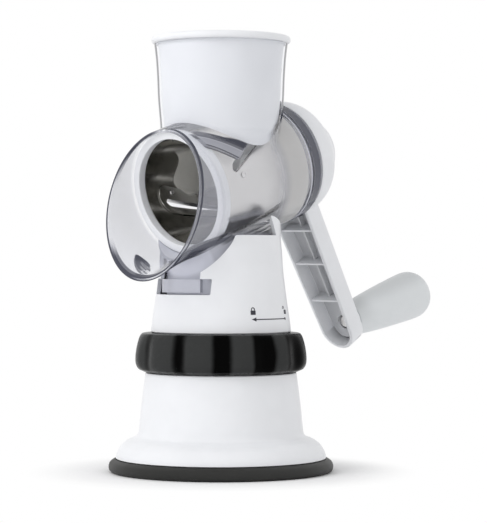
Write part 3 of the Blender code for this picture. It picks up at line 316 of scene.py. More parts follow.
class Finish:
    """A material, or a world, and the one method that adds nodes to it."""

    def __init__(self, name, world=None):
        self.material = world or bpy.data.materials.new(name)
        self.material.use_nodes = True
        self.tree = self.material.node_tree
        self.tree.nodes.clear()
        self.output = self.tree.nodes.new("ShaderNodeOutputWorld" if world else "ShaderNodeOutputMaterial")

    def add(self, kind, settings=None, *values, out=0, **named):
        node = self.tree.nodes.new(kind)
        for key, setting in (settings or {}).items():
            setattr(node, key, setting)
        for key, value in list(enumerate(values)) + list(named.items()):
            socket = node.inputs[key] if isinstance(key, int) else node.inputs[key.replace("_", " ")]
            if isinstance(value, Value):
                self.tree.links.new(value.socket, socket)
            else:
                socket.default_value = value
        return Value(self, node.outputs[out])

    def maths(self, operation, *values):
        return self.add("ShaderNodeMath", {"operation": operation}, *values)

    def limited(self, value):
        """A value kept from 0 to 1."""
        return self.add("ShaderNodeClamp", None, value, 0.0, 1.0)

    def rays(self, *kinds):
        """1 for light paths of a kind, one value for each kind."""
        first = self.add("ShaderNodeLightPath")
        return [Value(self, first.socket.node.outputs["Is %s Ray" % kind]) for kind in kinds]

    def place(self):
        """Object coordinates, in metres."""
        return self.add("ShaderNodeTexCoord", out="Object")

    def turned(self, frame, scale=(1.0, 1.0, 1.0)):
        """Object coordinates seen from a frame, each axis scaled."""
        back = frame.inverted()
        stretch = Matrix.Diagonal((*scale, 1.0))
        moved = self.add("ShaderNodeMapping", {"vector_type": "POINT"}, self.place(),
                         tuple(back.translation), tuple(back.to_euler()), (1.0, 1.0, 1.0))
        return self.add("ShaderNodeMapping", {"vector_type": "POINT"}, moved, (0.0, 0.0, 0.0),
                        (0.0, 0.0, 0.0), tuple(stretch.to_scale()))

    def noise(self, scale, detail=2.0, vector=None):
        """Soft noise from about 0.3 to 0.7."""
        return self.add("ShaderNodeTexNoise", {"noise_dimensions": "3D"}, Vector=vector or self.place(),
                        Scale=scale, Detail=detail)

    def axes(self, vector):
        """The x, y and z of a vector."""
        return [self.add("ShaderNodeSeparateXYZ", None, vector, out=axis) for axis in range(3)]

    def shade(self, low, high, share):
        """A colour between two, by share."""
        node = self.tree.nodes.new("ShaderNodeMix")
        node.data_type = "RGBA"
        node.clamp_factor = True
        self.tree.links.new(share.socket, node.inputs[0])
        for socket, colour in ((node.inputs[6], low), (node.inputs[7], high)):
            if isinstance(colour, Value):
                self.tree.links.new(colour.socket, socket)
            else:
                socket.default_value = (*colour, 1.0)
        return Value(self, node.outputs[2])

    def bump(self, height, depth):
        """A normal from a height between 0 and 1 that stands for a depth in metres."""
        return self.add("ShaderNodeBump", None, Strength=1.0, Distance=depth, Height=height)

    def principled(self, **sockets):
        return self.add("ShaderNodeBsdfPrincipled", None, **sockets)

    def close(self, shader):
        self.tree.links.new(shader.socket, self.output.inputs["Surface"])
        return self.material


def tone(colour, factor):
    return tuple(min(1.0, part * factor) for part in colour)


def moulded_plastic(name, colour, roughness, grain, level=0.5, painted_shade=None):
    """Injection moulded plastic: faint clouding, a fine skin and a slow waviness.

    Where a share is given by painted_shade, the colour is a quarter darker: painted shade.
    """
    finish = Finish(name)
    cloud = finish.noise(55.0, 3.0)
    fine = finish.noise(2600.0, 1.0)
    slow = finish.noise(60.0, 1.0)
    tint = finish.shade(tone(colour, 0.99), tone(colour, 1.012), cloud.between(0.35, 0.65))
    if painted_shade:
        tint = finish.shade(tint, tone(colour, 0.72), painted_shade(finish))
    skin = finish.bump(fine * 0.3 + slow * 0.7, grain)
    return finish.close(finish.principled(Base_Color=tint, Roughness=roughness - 0.05 + cloud * 0.10,
                                          Specular_IOR_Level=level, Normal=skin))


def channel_shade(finish):
    """Painted shade: 0 on the crank arm's outside and rim, rising to 1 at the bottom of its channel."""
    own = finish.turned(ARM_FRAME)
    across, along, deep = finish.axes(own)
    aside = finish.maths("ABSOLUTE", across) + along * 0.0324
    return (aside.between(0.0152, 0.0149) * deep.band(0.0010, 0.0085, 0.0103, 0.0106)
            * along.between(0.033, 0.037))


def grip_shade(finish):
    """Painted shade: 1 along the grip's upper side and beside the arm, falling to 0 towards the lower side.
    """
    own = finish.turned(GRIP_FRAME)
    across, down, along = finish.axes(own)
    aside = (across * 0.251 + down * 0.968) / 0.0145
    return (aside.between(-0.15, -1.0) * 0.75 + along.between(0.152, 0.134) * aside.between(0.9, -0.6) * 0.8)


def gloss_black(name, colour, lobes):
    """Black plastic with a painted sheen on its lobes, wider on the lit side than on the other."""
    finish = Finish(name)
    marks = finish.noise(140.0, 4.0).between(0.45, 0.75)
    across, along, _ = finish.axes(finish.place())
    turn = finish.maths("ARCTAN2", along, across)
    wave = finish.maths("COSINE", turn * float(lobes))
    aside = (across * 0.706 + along * 0.708) / 0.054
    uneven = (finish.noise(60.0, 2.0) - 0.5) * 0.5
    # Painted sheen: the lobes are lighter, wider on the side the light comes from and none at the far side.
    painted_sheen = (wave - aside * 0.8 + uneven).between(-0.62, 0.18) * aside.between(0.86, 0.78)
    tint = finish.shade(tone(colour, 0.12), tone(colour, 11.5), painted_sheen)
    return finish.close(finish.principled(Base_Color=tint, Roughness=0.24 + marks * 0.10,
                                          Specular_IOR_Level=0.03,
                                          Normal=finish.bump(finish.noise(70.0, 1.0), 0.00005)))


def soft_rubber(name, colour):
    """Dull black rubber, slightly dusty, with a fine pebbled skin."""
    finish = Finish(name)
    dust = finish.noise(60.0, 4.0).between(0.42, 0.70)
    pebble = finish.noise(1500.0, 2.0)
    tint = finish.shade(colour, tone(colour, 1.45), dust)
    return finish.close(finish.principled(Base_Color=tint, Roughness=0.50 + dust * 0.12,
                                          Specular_IOR_Level=0.4, Normal=finish.bump(pebble, 0.00003)))


def bright_steel(name, colour, frame, roughness, around, bright=0.0):
    """Polished sheet with fine lines that run round the frame's axis, and slight smears.

    A bright part, where asked for, is a painted highlight: a paler patch, far less metallic, that scatters
    light instead of mirroring it.
    """
    finish = Finish(name)
    own = finish.turned(frame)
    across, down, ahead = finish.axes(own)
    lines = finish.noise(1.0, 2.0, finish.turned(frame, (30.0, 30.0, around)))
    smear = finish.noise(45.0, 3.0).between(0.40, 0.70)
    # The painted highlight's near edge is an S that swings 4 mm either way about a slope of 8 mm to the
    # radian
    turn = finish.maths("ARCTAN2", down, 0.0 - across)
    swing = finish.maths("COSINE", turn * 7.0)
    patch = ((ahead - 0.0330 + swing * 0.004 - turn * 0.008).between(0.0, 0.0012)
             * turn.band(-0.75, -0.55, 0.26, 0.36))
    painted_highlight = patch * bright
    tint = finish.shade(tone(colour, 0.94), tone(colour, 1.05), lines)
    tint = finish.shade(tint, (0.95, 0.94, 0.89), painted_highlight * (0.75 + smear * 0.25))
    return finish.close(finish.principled(Base_Color=tint, Metallic=1.0 - painted_highlight * 0.9,
                                          Roughness=roughness + lines * 0.10 + smear * 0.04,
                                          Normal=finish.bump(lines, 0.000004)))


def clear_plastic(name, tint, pale):
    """Smoky clear plastic, with painted refraction, shade and highlights on it.

    It is see-through face on, and dark, bluish and glossy where it is seen edge on, a painted stand-in
    for refraction.  The spout and the rear wall hold more tint, and the skirt a dense pale film that
    paints light over the shade behind it.  The streaks on its flank and the lines beside the rim are
    painted dark refraction lines, the lens beside the hopper's foot and the bands at the tube's rear
    painted shade, a gleam there a painted highlight, and a dark spot lies low inside the spout.
    """
    finish = Finish(name)
    facing = finish.add("ShaderNodeLayerWeight", None, 0.5, out="Facing")
    cloud = finish.noise(60.0, 2.0)
    own = finish.turned(DRUM_FRAME)
    across, down, ahead = finish.axes(own)
    reach = finish.maths("SQRT", across * across + down * down)
    turn = finish.maths("ARCTAN2", down, across)
    east, north, height = finish.axes(finish.place())
    out = finish.maths("SQRT", east * east + north * north)
    behind = ahead + RIM_HEIGHT + (down + RIM_RADIUS) * RIM_SLOPE
    forth = ahead + SPOUT_START
    skin = SPOUT_RADIUS + forth * 0.0188 + forth * forth * 3.58 - reach
    barrel = reach.between(0.0520, 0.0480)
    right, left = across.between(-0.012, 0.006), across.between(0.004, -0.012)
    crown, base = down.between(-0.006, -0.030), down.between(0.020, 0.032)
    face = behind.between(0.0007, 0.0003)
    inner = skin.between(0.0012, 0.0018)
    outer = skin.between(0.0009, 0.0005)
    bead = behind.band(0.0003, 0.0007, 0.0022, 0.0030)
    # Painted dark refraction lines on the rim's face and beside it.
    line = (face * left * (1.0 - inner * (1.0 - crown)) + face * base * (inner + outer)
            + face * right * inner + bead * (right + crown * 0.8 + base * 0.8)) * barrel
    spout = ahead.between(0.0010, -0.0010) * barrel
    tube = ahead.between(-0.0010, 0.0010) * reach.between(0.0440, 0.0425)
    skirt = height.between(0.1500, 0.1420) * out.between(0.0392, 0.0386)
    chute = height.between(0.2105, 0.2125)
    skin_out = (out - 0.0369 - (height - 0.214) * 0.0736).between(-0.0003, 0.0003)
    # Painted shade: a dark lens beside the hopper's foot, w metres behind its lower edge
    w = ahead - 0.0025 - (turn + 0.7767) * 0.0466
    lens = (w.band(-0.0004, 0.0006, 0.0185, 0.0200) * turn.between(-1.25, -1.05)
            * (turn + 0.40 + w * 8.7).between(0.02, -0.02) * ahead.between(0.0020, 0.0040))
    deep = lens * (0.25 + w.between(0.0020, 0.0010) * 0.5 + w.between(0.0098, 0.0112) * 0.30
                   + w.between(0.0130, 0.0175) * turn.between(-1.05, -0.65) * 0.45
                   - w.band(0.0092, 0.0098, 0.0103, 0.0110) * 0.3)
    # Painted dark refraction streaks low on the flank, v radians below the first one's upper edge
    v = turn - 0.768
    low = (v.between(0.0, 0.05) * (v + (ahead + 0.014) * 7.5).between(0.36, 0.28)
           * ahead.band(-0.030, -0.022, 0.050, 0.060))
    v = turn - 0.47 - (ahead - 0.0035) * 2.1
    high = v.band(-0.04, -0.01, 0.02, 0.06) * ahead.band(0.002, 0.008, 0.030, 0.040)
    lines = (low * 0.85 + high * 0.40) * (tube + spout)
    under = turn.band(1.02, 1.12, 1.9, 2.1) * ahead.band(0.012, 0.020, 0.052, 0.062) * tube
    # Dark spot low inside the spout
    u = (turn - 1.92) / 0.235
    t = (ahead + 0.0275 - (turn - 1.92) * 0.0167) / (0.0042 - (turn - 1.92) * 0.0060)
    e = u * u + t * t
    spot = (e.between(1.15, 0.85) * (1.0 - u.between(0.3, -0.2) * t.band(-0.15, 0.0, 0.25, 0.40) * 0.8)
            * (1.0 - u.between(0.0, -0.5) * t.band(-0.65, -0.50, -0.40, -0.25) * 0.7) * spout)
    outside = reach.between(0.0365, 0.0372) * tube
    collar = ahead.band(0.0480, 0.0630, 0.0766, 0.0772) * outside
    # Painted shade in two bands at the tube's rear, and between them a painted highlight, the gleam.
    end = (ahead.band(0.0766, 0.0770, 0.0775, 0.0780) * 0.55
           + ahead.band(0.0826, 0.0834, 0.0890, 0.0900)) * outside
    plate = ahead.between(0.0872, 0.0878) * reach.between(0.0368, 0.0362)
    gleam = ahead.band(0.0793, 0.0798, 0.0806, 0.0812) * outside
    # Painted dark edges where it is seen edge on, standing in for refraction.
    edge = (facing.between(0.70, 0.93) * (1.0 - chute * (1.0 - skin_out * 0.4))
            + facing.between(0.72, 0.80) * chute * skin_out)
    dark = finish.limited(edge * (1.0 - skirt * 0.7) * (1.0 - collar) + line + lines * 0.9
                          + deep * 1.5 + spot * 0.9 + end * 0.9 - gleam)
    # The skirt's dense pale film paints light over the shade of the stand's inside behind it.
    film = (spout * 0.24 + skirt * (0.70 + cloud * 0.1) + tube * 0.03 + plate * 0.75 + under * 0.6
            + collar * 0.85 + gleam * 0.8 + 0.02)
    share = finish.limited(film + cloud * 0.02 + edge * 0.9 + line * 0.92 + lines * 0.72
                           + lens * 0.60 + deep * 0.40 + spot * 0.8 + end * 0.85 - chute * 0.02)
    colour = finish.shade(finish.shade(pale, (0.545, 0.540, 0.540), collar), tint, dark)
    solid = finish.principled(Base_Color=colour, Roughness=0.06 + cloud * 0.04, Specular_IOR_Level=0.5,
                              Normal=finish.bump(finish.noise(40.0, 1.0), 0.00008))
    clear = finish.add("ShaderNodeBsdfTransparent", None, (0.985, 0.987, 0.992, 1.0))
    shadow, glossy = finish.rays("Shadow", "Glossy")
    share = share * (1.0 - shadow * 0.75) * (1.0 - glossy * 0.85)
    return finish.close(finish.add("ShaderNodeMixShader", None, share, clear, solid))


def printed_ink(name, colour):
    """Pad printed ink, a little uneven."""
    finish = Finish(name)
    patch = finish.noise(700.0, 3.0)
    tint = finish.shade(colour, tone(colour, 1.6), patch.between(0.35, 0.75))
    return finish.close(finish.principled(Base_Color=tint, Roughness=0.40 + patch * 0.15))


def finishes():
    """Every finish, made once and kept by name."""
    look = bpy.context.scene.cutter_look
    kept = bpy.data.materials
    if "white_moulding" not in kept:
        moulded_plastic("white_moulding", look.white, 0.34, 0.00003)
        moulded_plastic("crank_moulding", look.white, 0.34, 0.00003, 0.5, channel_shade)
        moulded_plastic("grey_moulding", look.grip, 0.42, 0.00004, 0.45, grip_shade)
        moulded_plastic("inner_grey", tone(look.grip, 0.7), 0.45, 0.00006)
        gloss_black("black_gloss", look.black, bpy.context.scene.cutter_shape.lobes)
        soft_rubber("pad_rubber", look.rubber)
        bright_steel("drum_steel", look.steel, DRUM_FRAME, 0.30, 2200.0)
        bright_steel("drum_inside_shaded", look.steel_inside_shaded, DRUM_FRAME, 0.12, 2200.0, 1.0)
        bright_steel("fixing_steel", look.steel, STAND_FRAME, 0.20, 900.0)
        clear_plastic("clear_moulding", look.clear, look.clear_pale)
        printed_ink("mark_ink", look.ink)
    return kept


# Sizes and colours that may be changed

class CutterShape(bpy.types.PropertyGroup):
    """Sizes of the detail that the looks add to the CAD shapes."""
    steps: IntProperty(name="Steps round", description="Facets round a full turn", default=160, min=24)
    lobes: IntProperty(name="Ring lobes", description="Lobes round the lock ring", default=12)
    flute: FloatProperty(name="Flute depth", description="Depth of the hollows between the lobes",
                         default=0.0022, unit="LENGTH", precision=4)
    mark_height: FloatProperty(name="Mark height", description="How far the printed marks stand off",
                               default=0.00012, unit="LENGTH", precision=5)


COLOUR = {"subtype": "COLOR", "size": 3, "min": 0.0, "max": 1.0}


class CutterLook(bpy.types.PropertyGroup):
    """Colours of the finishes."""
    white: FloatVectorProperty(name="White", description="White moulded plastic",
                               default=(0.84, 0.85, 0.875), **COLOUR)
    grip: FloatVectorProperty(name="Grip", description="Light grey plastic of the grip",
                              default=(0.76, 0.785, 0.80), **COLOUR)
    black: FloatVectorProperty(name="Black", description="Black plastic of the lock ring",
                               default=(0.0035, 0.0036, 0.0036), **COLOUR)
    rubber: FloatVectorProperty(name="Rubber", description="Black rubber of the pad",
                                default=(0.012, 0.012, 0.011), **COLOUR)
    steel: FloatVectorProperty(name="Steel", description="Stainless steel outside",
                               default=(0.66, 0.65, 0.645), **COLOUR)
    # The steel inside is darker than outside: painted shade inside the drum.
    steel_inside_shaded: FloatVectorProperty(name="Steel inside", description="Stainless steel inside the drum",
                                      default=(0.42, 0.41, 0.38), **COLOUR)
    clear_pale: FloatVectorProperty(name="Clear, pale", description="Film of the clear plastic face on",
                                    default=(0.60, 0.61, 0.68), **COLOUR)
    clear: FloatVectorProperty(name="Clear", description="Tint of the clear plastic's edges",
                               default=(0.035, 0.038, 0.060), **COLOUR)
    ink: FloatVectorProperty(name="Ink", description="Printed marks",
                             default=(0.02, 0.02, 0.03), **COLOUR)


class CutterStage(bpy.types.PropertyGroup):
    """Camera and light."""
    distance: FloatProperty(name="Camera distance", description="From the stand's axis", default=1.3454,
                            unit="LENGTH")
    height: FloatProperty(name="Camera height", description="Above the worktop", default=0.1337,
                          unit="LENGTH")
    azimuth: FloatProperty(name="Camera azimuth", description="Round the object from its mouth",
                           default=radians(45.1), subtype="ANGLE")
    focal: FloatProperty(name="Focal length", description="In pixels of the photograph", default=2160.0)
    ambient: FloatProperty(name="Ambient", description="Strength of the surrounding white light",
                           default=0.76)
    key: FloatProperty(name="Key", description="Power of the large lamp", default=8.0)


# Pieces

class CUTTER_OT_foot(bpy.types.Operator):
    """Rubber pad and the domed white foot on it"""
    bl_idname = "cutter.foot"
    bl_label = "Foot"

    def execute(self, context):
        kept = finishes()
        pad = rounded([(0.0, 0.0080), (0.0140, 0.0080), (0.0140, 0.0050), (0.0589, 0.0050), (0.0609, 0.0080),
                       (0.0664, 0.0080), (0.0693, 0.0060), (0.0700, 0.0036), (0.0697, 0.0012), (0.0684, 0.0),
                       (0.0, 0.0)],
                      [0, 0.0006, 0.0006, 0.0008, 0.0008, 0.0012, 0.0016, 0.0012, 0.0008, 0.0006, 0])
        dressed(lathe("rubber_pad", pad), "base", kept["pad_rubber"], ["suction_pad"])
        side = through([(0.0472, 0.0606), (0.0473, 0.0590), (0.0486, 0.0490), (0.0498, 0.0390),
                        (0.0508, 0.0290), (0.0514, 0.0242), (0.0529, 0.0217), (0.0560, 0.0204),
                        (0.0588, 0.0190), (0.0617, 0.0167), (0.0635, 0.0142), (0.0648, 0.0117),
                        (0.0654, 0.0092), (0.0655, 0.0086)], 5)
        inner = [(0.0625, 0.0083), (0.0600, 0.0135), (0.0560, 0.0170), (0.0510, 0.0192), (0.0486, 0.0235),
                 (0.0472, 0.0380), (0.0448, 0.0587), (0.0300, 0.0587)]
        outline = np.vstack([[(0.0300, 0.0613), (0.0394, 0.0613), (0.0394, 0.0720), (0.0420, 0.0720),
                              (0.0420, 0.0613), (0.0468, 0.0613)], side, [(0.0651, 0.0083)], inner])
        foot = lathe("white_foot", outline)
        fused(foot, *pins(STAND_SCREWS, 0.0038, 24, 0.0603, 0.0790),
              *pins(BASE_SCREWS, 0.0038, 24, 0.0293, 0.0603))
        carved(foot, *pins(STAND_SCREWS, 0.0018, 16, 0.0663, 0.0800),
               *pins(BASE_SCREWS, 0.0018, 16, 0.0283, 0.0423))
        dressed(foot, "base", kept["white_moulding"], ["lower_base"], 40.0)
        return {"FINISHED"}


class CUTTER_OT_ring(bpy.types.Operator):
    """Fluted black lock ring with its web and cam hub"""
    bl_idname = "cutter.ring"
    bl_label = "Lock ring"

    def execute(self, context):
        shape = context.scene.cutter_shape
        kept = finishes()
        grip = through([(0.0455, 0.0862), (0.0490, 0.0859), (0.0508, 0.0843), (0.0520, 0.0815),
                        (0.0531, 0.0775), (0.0538, 0.0730), (0.0539, 0.0690), (0.0533, 0.0662),
                        (0.0516, 0.0638), (0.0488, 0.0625)], 5)
        outline = np.vstack([[(0.0426, 0.0863), (0.0440, 0.0863)], grip,
                             [(0.0478, 0.0620), (0.0424, 0.0616), (0.0424, 0.0730), (0.0121, 0.0730),
                              (0.0121, 0.0560), (0.0054, 0.0560), (0.0054, 0.0758), (0.0426, 0.0758)]])

        root, crest, low, tall = 0.0475, 0.0539, 0.0616, 0.0247

        def fluted(radius, angle, height):
            """r less the flute's depth times wave^2, fading to nothing at the ring's two ends."""
            share = np.clip((radius - root) / (crest - root), 0.0, 1.0)
            wave = 0.5 - 0.5 * np.cos(shape.lobes * angle)
            rise = np.sin(pi * np.clip((height - low) / tall, 0.0, 1.0)) ** 0.5
            return radius - shape.flute * share * wave ** 2 * rise

        ring = lathe("lock_ring_grip", outline, steps=240, ripple=fluted)
        half, beyond = 0.0043, 8.1
        turn = np.linspace(radians(90 - LOCK_TURN - beyond), radians(90 + beyond), 24)
        slot = np.vstack([arc(POST_CIRCLE + half, turn), arc(POST_CIRCLE - half, turn)[::-1]])
        slots = [prism("slot", slot, 0.0710, 0.0780, Matrix.Rotation(third * 2 * pi / 3, 4, "Z"))
                 for third in range(3)]
        paths = []
        for share in np.linspace(0.0, 1.0, 7):
            frame = (Matrix.Rotation(-radians(LOCK_TURN) * share, 4, "Z")
                     @ Matrix.Translation((0, 0, 0.0610 + 0.0050 * share)) @ Matrix.Rotation(pi / 2, 4, "Y"))
            paths.append(prism("path", circle(0.0024, 20), -0.0150, 0.0150, frame))
        carved(ring, *slots, *paths)
        dressed(ring, "lock", kept["black_gloss"], ["lock_ring"], 45.0)
        return {"FINISHED"}


STAND_SIDE = [(0.0370, 0.1640), (0.0370, 0.1600), (0.0374, 0.1430), (0.0380, 0.1363), (0.0386, 0.1263),
              (0.0395, 0.1180), (0.0405, 0.1100), (0.0417, 0.1014), (0.0428, 0.0940), (0.0434, 0.0890)]


def stand_radius(height):
    """Outer radius of the stand at a height."""
    side = np.array(STAND_SIDE[::-1])
    return np.interp(height, side[:, 1], side[:, 0])


class CUTTER_OT_stand(bpy.types.Operator):
    """White conical stand with its cradle, arch, slot and window"""
    bl_idname = "cutter.stand"
    bl_label = "Stand"

    def execute(self, context):
        kept = finishes()
        side = through(STAND_SIDE, 5)
        inner = side[::-1] - [STAND_WALL, 0.0]
        low = inner[(inner[:, 1] > 0.0890) & (inner[:, 1] < 0.1058)]
        high = inner[inner[:, 1] > 0.1108]
        outline = np.vstack([side, [(0.0436, 0.0871), (0.0432, 0.0867), (0.0420, 0.0867), (0.0420, 0.0768),
                                    (0.0394, 0.0768), (0.0394, 0.0793), (0.0080, 0.0793), (0.0080, 0.0818),
                                    (0.0394, 0.0818)], low,
                             [(0.0385, 0.1068), (0.0290, 0.1068), (0.0290, 0.1098), (0.0382, 0.1098)], high])
        stand = lathe("cone_stand", outline)
        saddle = prism("saddle", circle(0.0436, 160), -0.10, 0.20, DRUM_FRAME)
        sideways = Matrix(((0, 0, 1, 0), (1, 0, 0, 0), (0, 1, 0, 0), (0, 0, 0, 1)))
        ledge, back, tall, arch_height = 0.1465, 0.0133, 0.05, 0.1511
        step = prism("step", [(-0.15, ledge), (back, ledge), (back - tall * tan(radians(28.0)), ledge + tall),
                              (-0.15, ledge + tall)], -0.06, 0.06, sideways)
        front = Matrix.Rotation(pi / 2, 4, "X")
        arch = prism("arch", circle(0.0322, 128, (0.0, arch_height)), 0.0, 0.06, front)
        slot = prism("slot", rounded([(-0.0173, 0.1111), (0.0173, 0.1111), (0.0173, arch_height),
                                      (-0.0173, arch_height)], 0.0), 0.02, 0.06, front)
        window = prism("window", rounded([(-0.0237, 0.1101), (0.0237, 0.1101), (0.0237, 0.1198),
                                          (-0.0237, 0.1198)], 0.0008), 0.02, 0.06, front)
        carved(stand, saddle, step, arch, slot, window, *pins(STAND_SCREWS, 0.0018, 16, 0.0783, 0.0828))
        dressed(stand, "base", kept["white_moulding"], ["stand"], 40.0)
        return {"FINISHED"}


def wrapped(u, height, rise, centre):
    """Points on the stand's side, or off it by rise: angle = centre + u / r, r = side(height) + rise."""
    radius = stand_radius(height) + rise
    return round_points(radius, centre + u / radius, height)


def decal(name, outline, centre, height, ink):
    """A flat outline (u, v) wrapped on the stand with the thickness of a printed mark."""
    line = np.asarray(outline, dtype=float)
    top = bpy.context.scene.cutter_shape.mark_height
    layers = [wrapped(line[:, 0], height + line[:, 1], rise, centre) for rise in (PRINT_BACK, top)]
    return dressed(surface(name, np.stack(layers), caps=True), "base", ink)


def shackle(aside, low):
    """Outline of a padlock's bow: two legs, and half circles of 1.3 mm and 0.75 mm round their tops."""
    turn = np.linspace(0.0, pi, 17)
    top = (aside, low + 0.0006)
    return np.vstack([[(aside + 0.0013, low)], arc(0.0013, turn, top),
                      [(aside - 0.0013, low), (aside - 0.00075, low)], arc(0.00075, turn[::-1], top),
                      [(aside + 0.00075, low)]])


class CUTTER_OT_marks(bpy.types.Operator):
    """Padlock marks and the arrow between them, printed on the stand"""
    bl_idname = "cutter.marks"
    bl_label = "Marks"

    def execute(self, context):
        ink = finishes()["mark_ink"]
        lock_row, arrow_row = 0.0994, 0.0953
        body = rounded([(-0.0017, -0.0013), (0.0017, -0.0013), (0.0017, 0.0013), (-0.0017, 0.0013)],
                       0.0003, 3)
        for name, centre, aside, low in (("closed", -17.3, 0.0, 0.00135), ("open", 24.3, -0.0022, 0.0018)):
            decal("padlock_%s" % name, body, radians(centre), lock_row, ink)
            decal("padlock_%s_bow" % name, shackle(aside, low), radians(centre), lock_row, ink)
        head = [(0.0, 0.0), (0.0032, -0.0012), (0.0032, 0.0012)]
        decal("arrow_head", head, radians(-19.0), arrow_row, ink)
        decal("arrow_dot", circle(0.0009, 20), radians(22.4), arrow_row, ink)
        turn = np.linspace(radians(-14.65), radians(21.4), 48)[:, None]
        half, top = 0.0003, context.scene.cutter_shape.mark_height
        height = arrow_row + half * np.array([-1.0, -1.0, 1.0, 1.0])[None] + 0 * turn
        radius = stand_radius(height) + np.array([PRINT_BACK, top, top, PRINT_BACK])[None]
        points = round_points(radius, turn, height)
        dressed(surface("arrow_line", points, caps=True), "base", ink)
        return {"FINISHED"}


def tube_radius(z):
    """Outer radius of the clear tube, and of its spout in front of the drum's ring.

    The tube is a cone.  With q the distance from the spout's start, the spout is
    0.0402 + 0.0188 q + 3.58 q^2, and the two meet in a smooth step 3 u^2 - 2 u^3 with u from 0
    at q = 0 to 1 at q = 15 mm.
    """
    q = np.asarray(z) + SPOUT_START
    meeting = 0.015
    tube = 0.0413 - 0.0284 * (q - SPOUT_START)
    u = np.clip(q / meeting, 0.0, 1.0)
    spout = SPOUT_RADIUS + 0.0188 * q + 3.58 * q ** 2
    return np.where(q > meeting, tube, spout + (tube - spout) * (3 * u ** 2 - 2 * u ** 3))


def tube_inside(z):
    """Inner radius: a wall less, but in the spout never so little that the drum could not pass."""
    inner = tube_radius(z) - TUBE_WALL
    return np.where(np.asarray(z) < 0.010, np.maximum(inner, RING_PASSAGE), inner)


def rim_place(angle, radius):
    """Where the slanting plane of the spout's rim cuts a side: z = -h - slope (y + r), by repetition."""
    z = np.full_like(angle, -0.02)
    for _ in range(14):
        z = -RIM_HEIGHT - RIM_SLOPE * (radius(z) * np.sin(angle) + RIM_RADIUS)
    return z


def tube_surface(name):
    """Tube, rear wall and spout: rings from the rear wall's bore, forward on the outer side,
    across the flat rim with its two small rounded edges, and back on the inner side.

    Each ring's z runs evenly from the rear to the rim: z = z0 + (rim(a) - z0) t for t from 0 to 1.
    """
    steps = bpy.context.scene.cutter_shape.steps
    ease, outer_end, inner_end = 0.0003, 0.0885, 0.0880
    angle = np.arange(steps) * 2 * pi / steps
    run = np.linspace(0.0, 1.0, 36)[:, None]
    near, far = rim_place(angle, tube_radius), rim_place(angle, tube_inside)
    outer_z = outer_end + (near[None] + ease - outer_end) * run
    inner_z = far[None] + ease + (inner_end - far[None] - ease) * run
    wall = (tube_radius(near) - tube_inside(far))[None]
    share = (np.array([0.0, 0.0, 0.5, 1.0, 1.0])[:, None]
             + np.array([0.3, 1.0, 0.0, -1.0, -0.3])[:, None] * ease / wall)
    face_z = near[None] + (far - near)[None] * share + np.array([0.3, 0.0, 0.0, 0.0, 0.3])[:, None] * ease
    face_r = tube_radius(near)[None] - wall * share
    bore = 0.0087
    corner = rounded([(bore, TUBE_REAR), (0.0380, TUBE_REAR), (0.0387, 0.0890), (0.02, 0.08)], 0.0016)
    rear = corner[(corner[:, 1] > 0.0886) & (corner[:, 0] > bore - 1e-9)]
    last = np.array([(0.0362, 0.0890), (0.0356, 0.0893), (bore, 0.0893)])
    (rear_r, rear_z), (last_r, last_z) = (np.repeat(line.T[:, :, None], steps, axis=2)
                                          for line in (rear, last))
    radius = np.vstack([rear_r, tube_radius(outer_z), face_r, tube_inside(inner_z), last_r])
    height = np.vstack([rear_z, outer_z, face_z, inner_z, last_z])
    return surface(name, placed(round_points(radius, angle, height), DRUM_FRAME))


def tube_core(inset=0.0011):
    """The tube's space, a little smaller than its outer side, for trimming what joins it."""
    z = np.linspace(TUBE_REAR, -0.05, 30)
    line = np.vstack([[(0.0, 0.12), (0.0387 - inset, 0.12)], np.stack([tube_radius(z) - inset, z], axis=1),
                      [(0.0, -0.05)]])
    return lathe("core", line, DRUM_FRAME)


CHUTE_SIDE = [(0.0416, 0.2656), (0.0405, 0.2560), (0.0397, 0.2434), (0.0392, 0.2310), (0.0378, 0.2140),
              (0.0377, 0.2000), (0.0377, AXIS_HEIGHT)]


class CUTTER_OT_housing(bpy.types.Operator):
    """Clear tube with its spout, skirt and tall chute"""
    bl_idname = "cutter.housing"
    bl_label = "Clear housing"

    def execute(self, context):
        kept = finishes()
        tube = tube_surface("clear_tube")
        skirt = lathe("skirt", rounded([(0.0320, AXIS_HEIGHT), (0.0340, AXIS_HEIGHT), (0.0340, 0.1101),
                                        (0.0320, 0.1101)], 0.0005))
        carved(skirt, tube_core())
        side = through(CHUTE_SIDE, 5)
        chute = lathe("chute", np.vstack([side, (side - [CHUTE_WALL, 0.0])[::-1]]))
        carved(chute, tube_core())
        fused(tube, skirt, chute)
        carved(tube, prism("throat", circle(0.0358, 160), AXIS_HEIGHT, 0.2703))
        turn = np.linspace(-pi / 2 - 0.45, -pi / 2 + 0.45, 24)
        fused(tube, prism("tab", np.vstack([arc(0.0384, turn), arc(0.0330, turn[::-1])]), 0.1114, 0.1196))
        dressed(tube, "housing", kept["clear_moulding"], ["clear_housing"], 35.0)
        return {"FINISHED"}


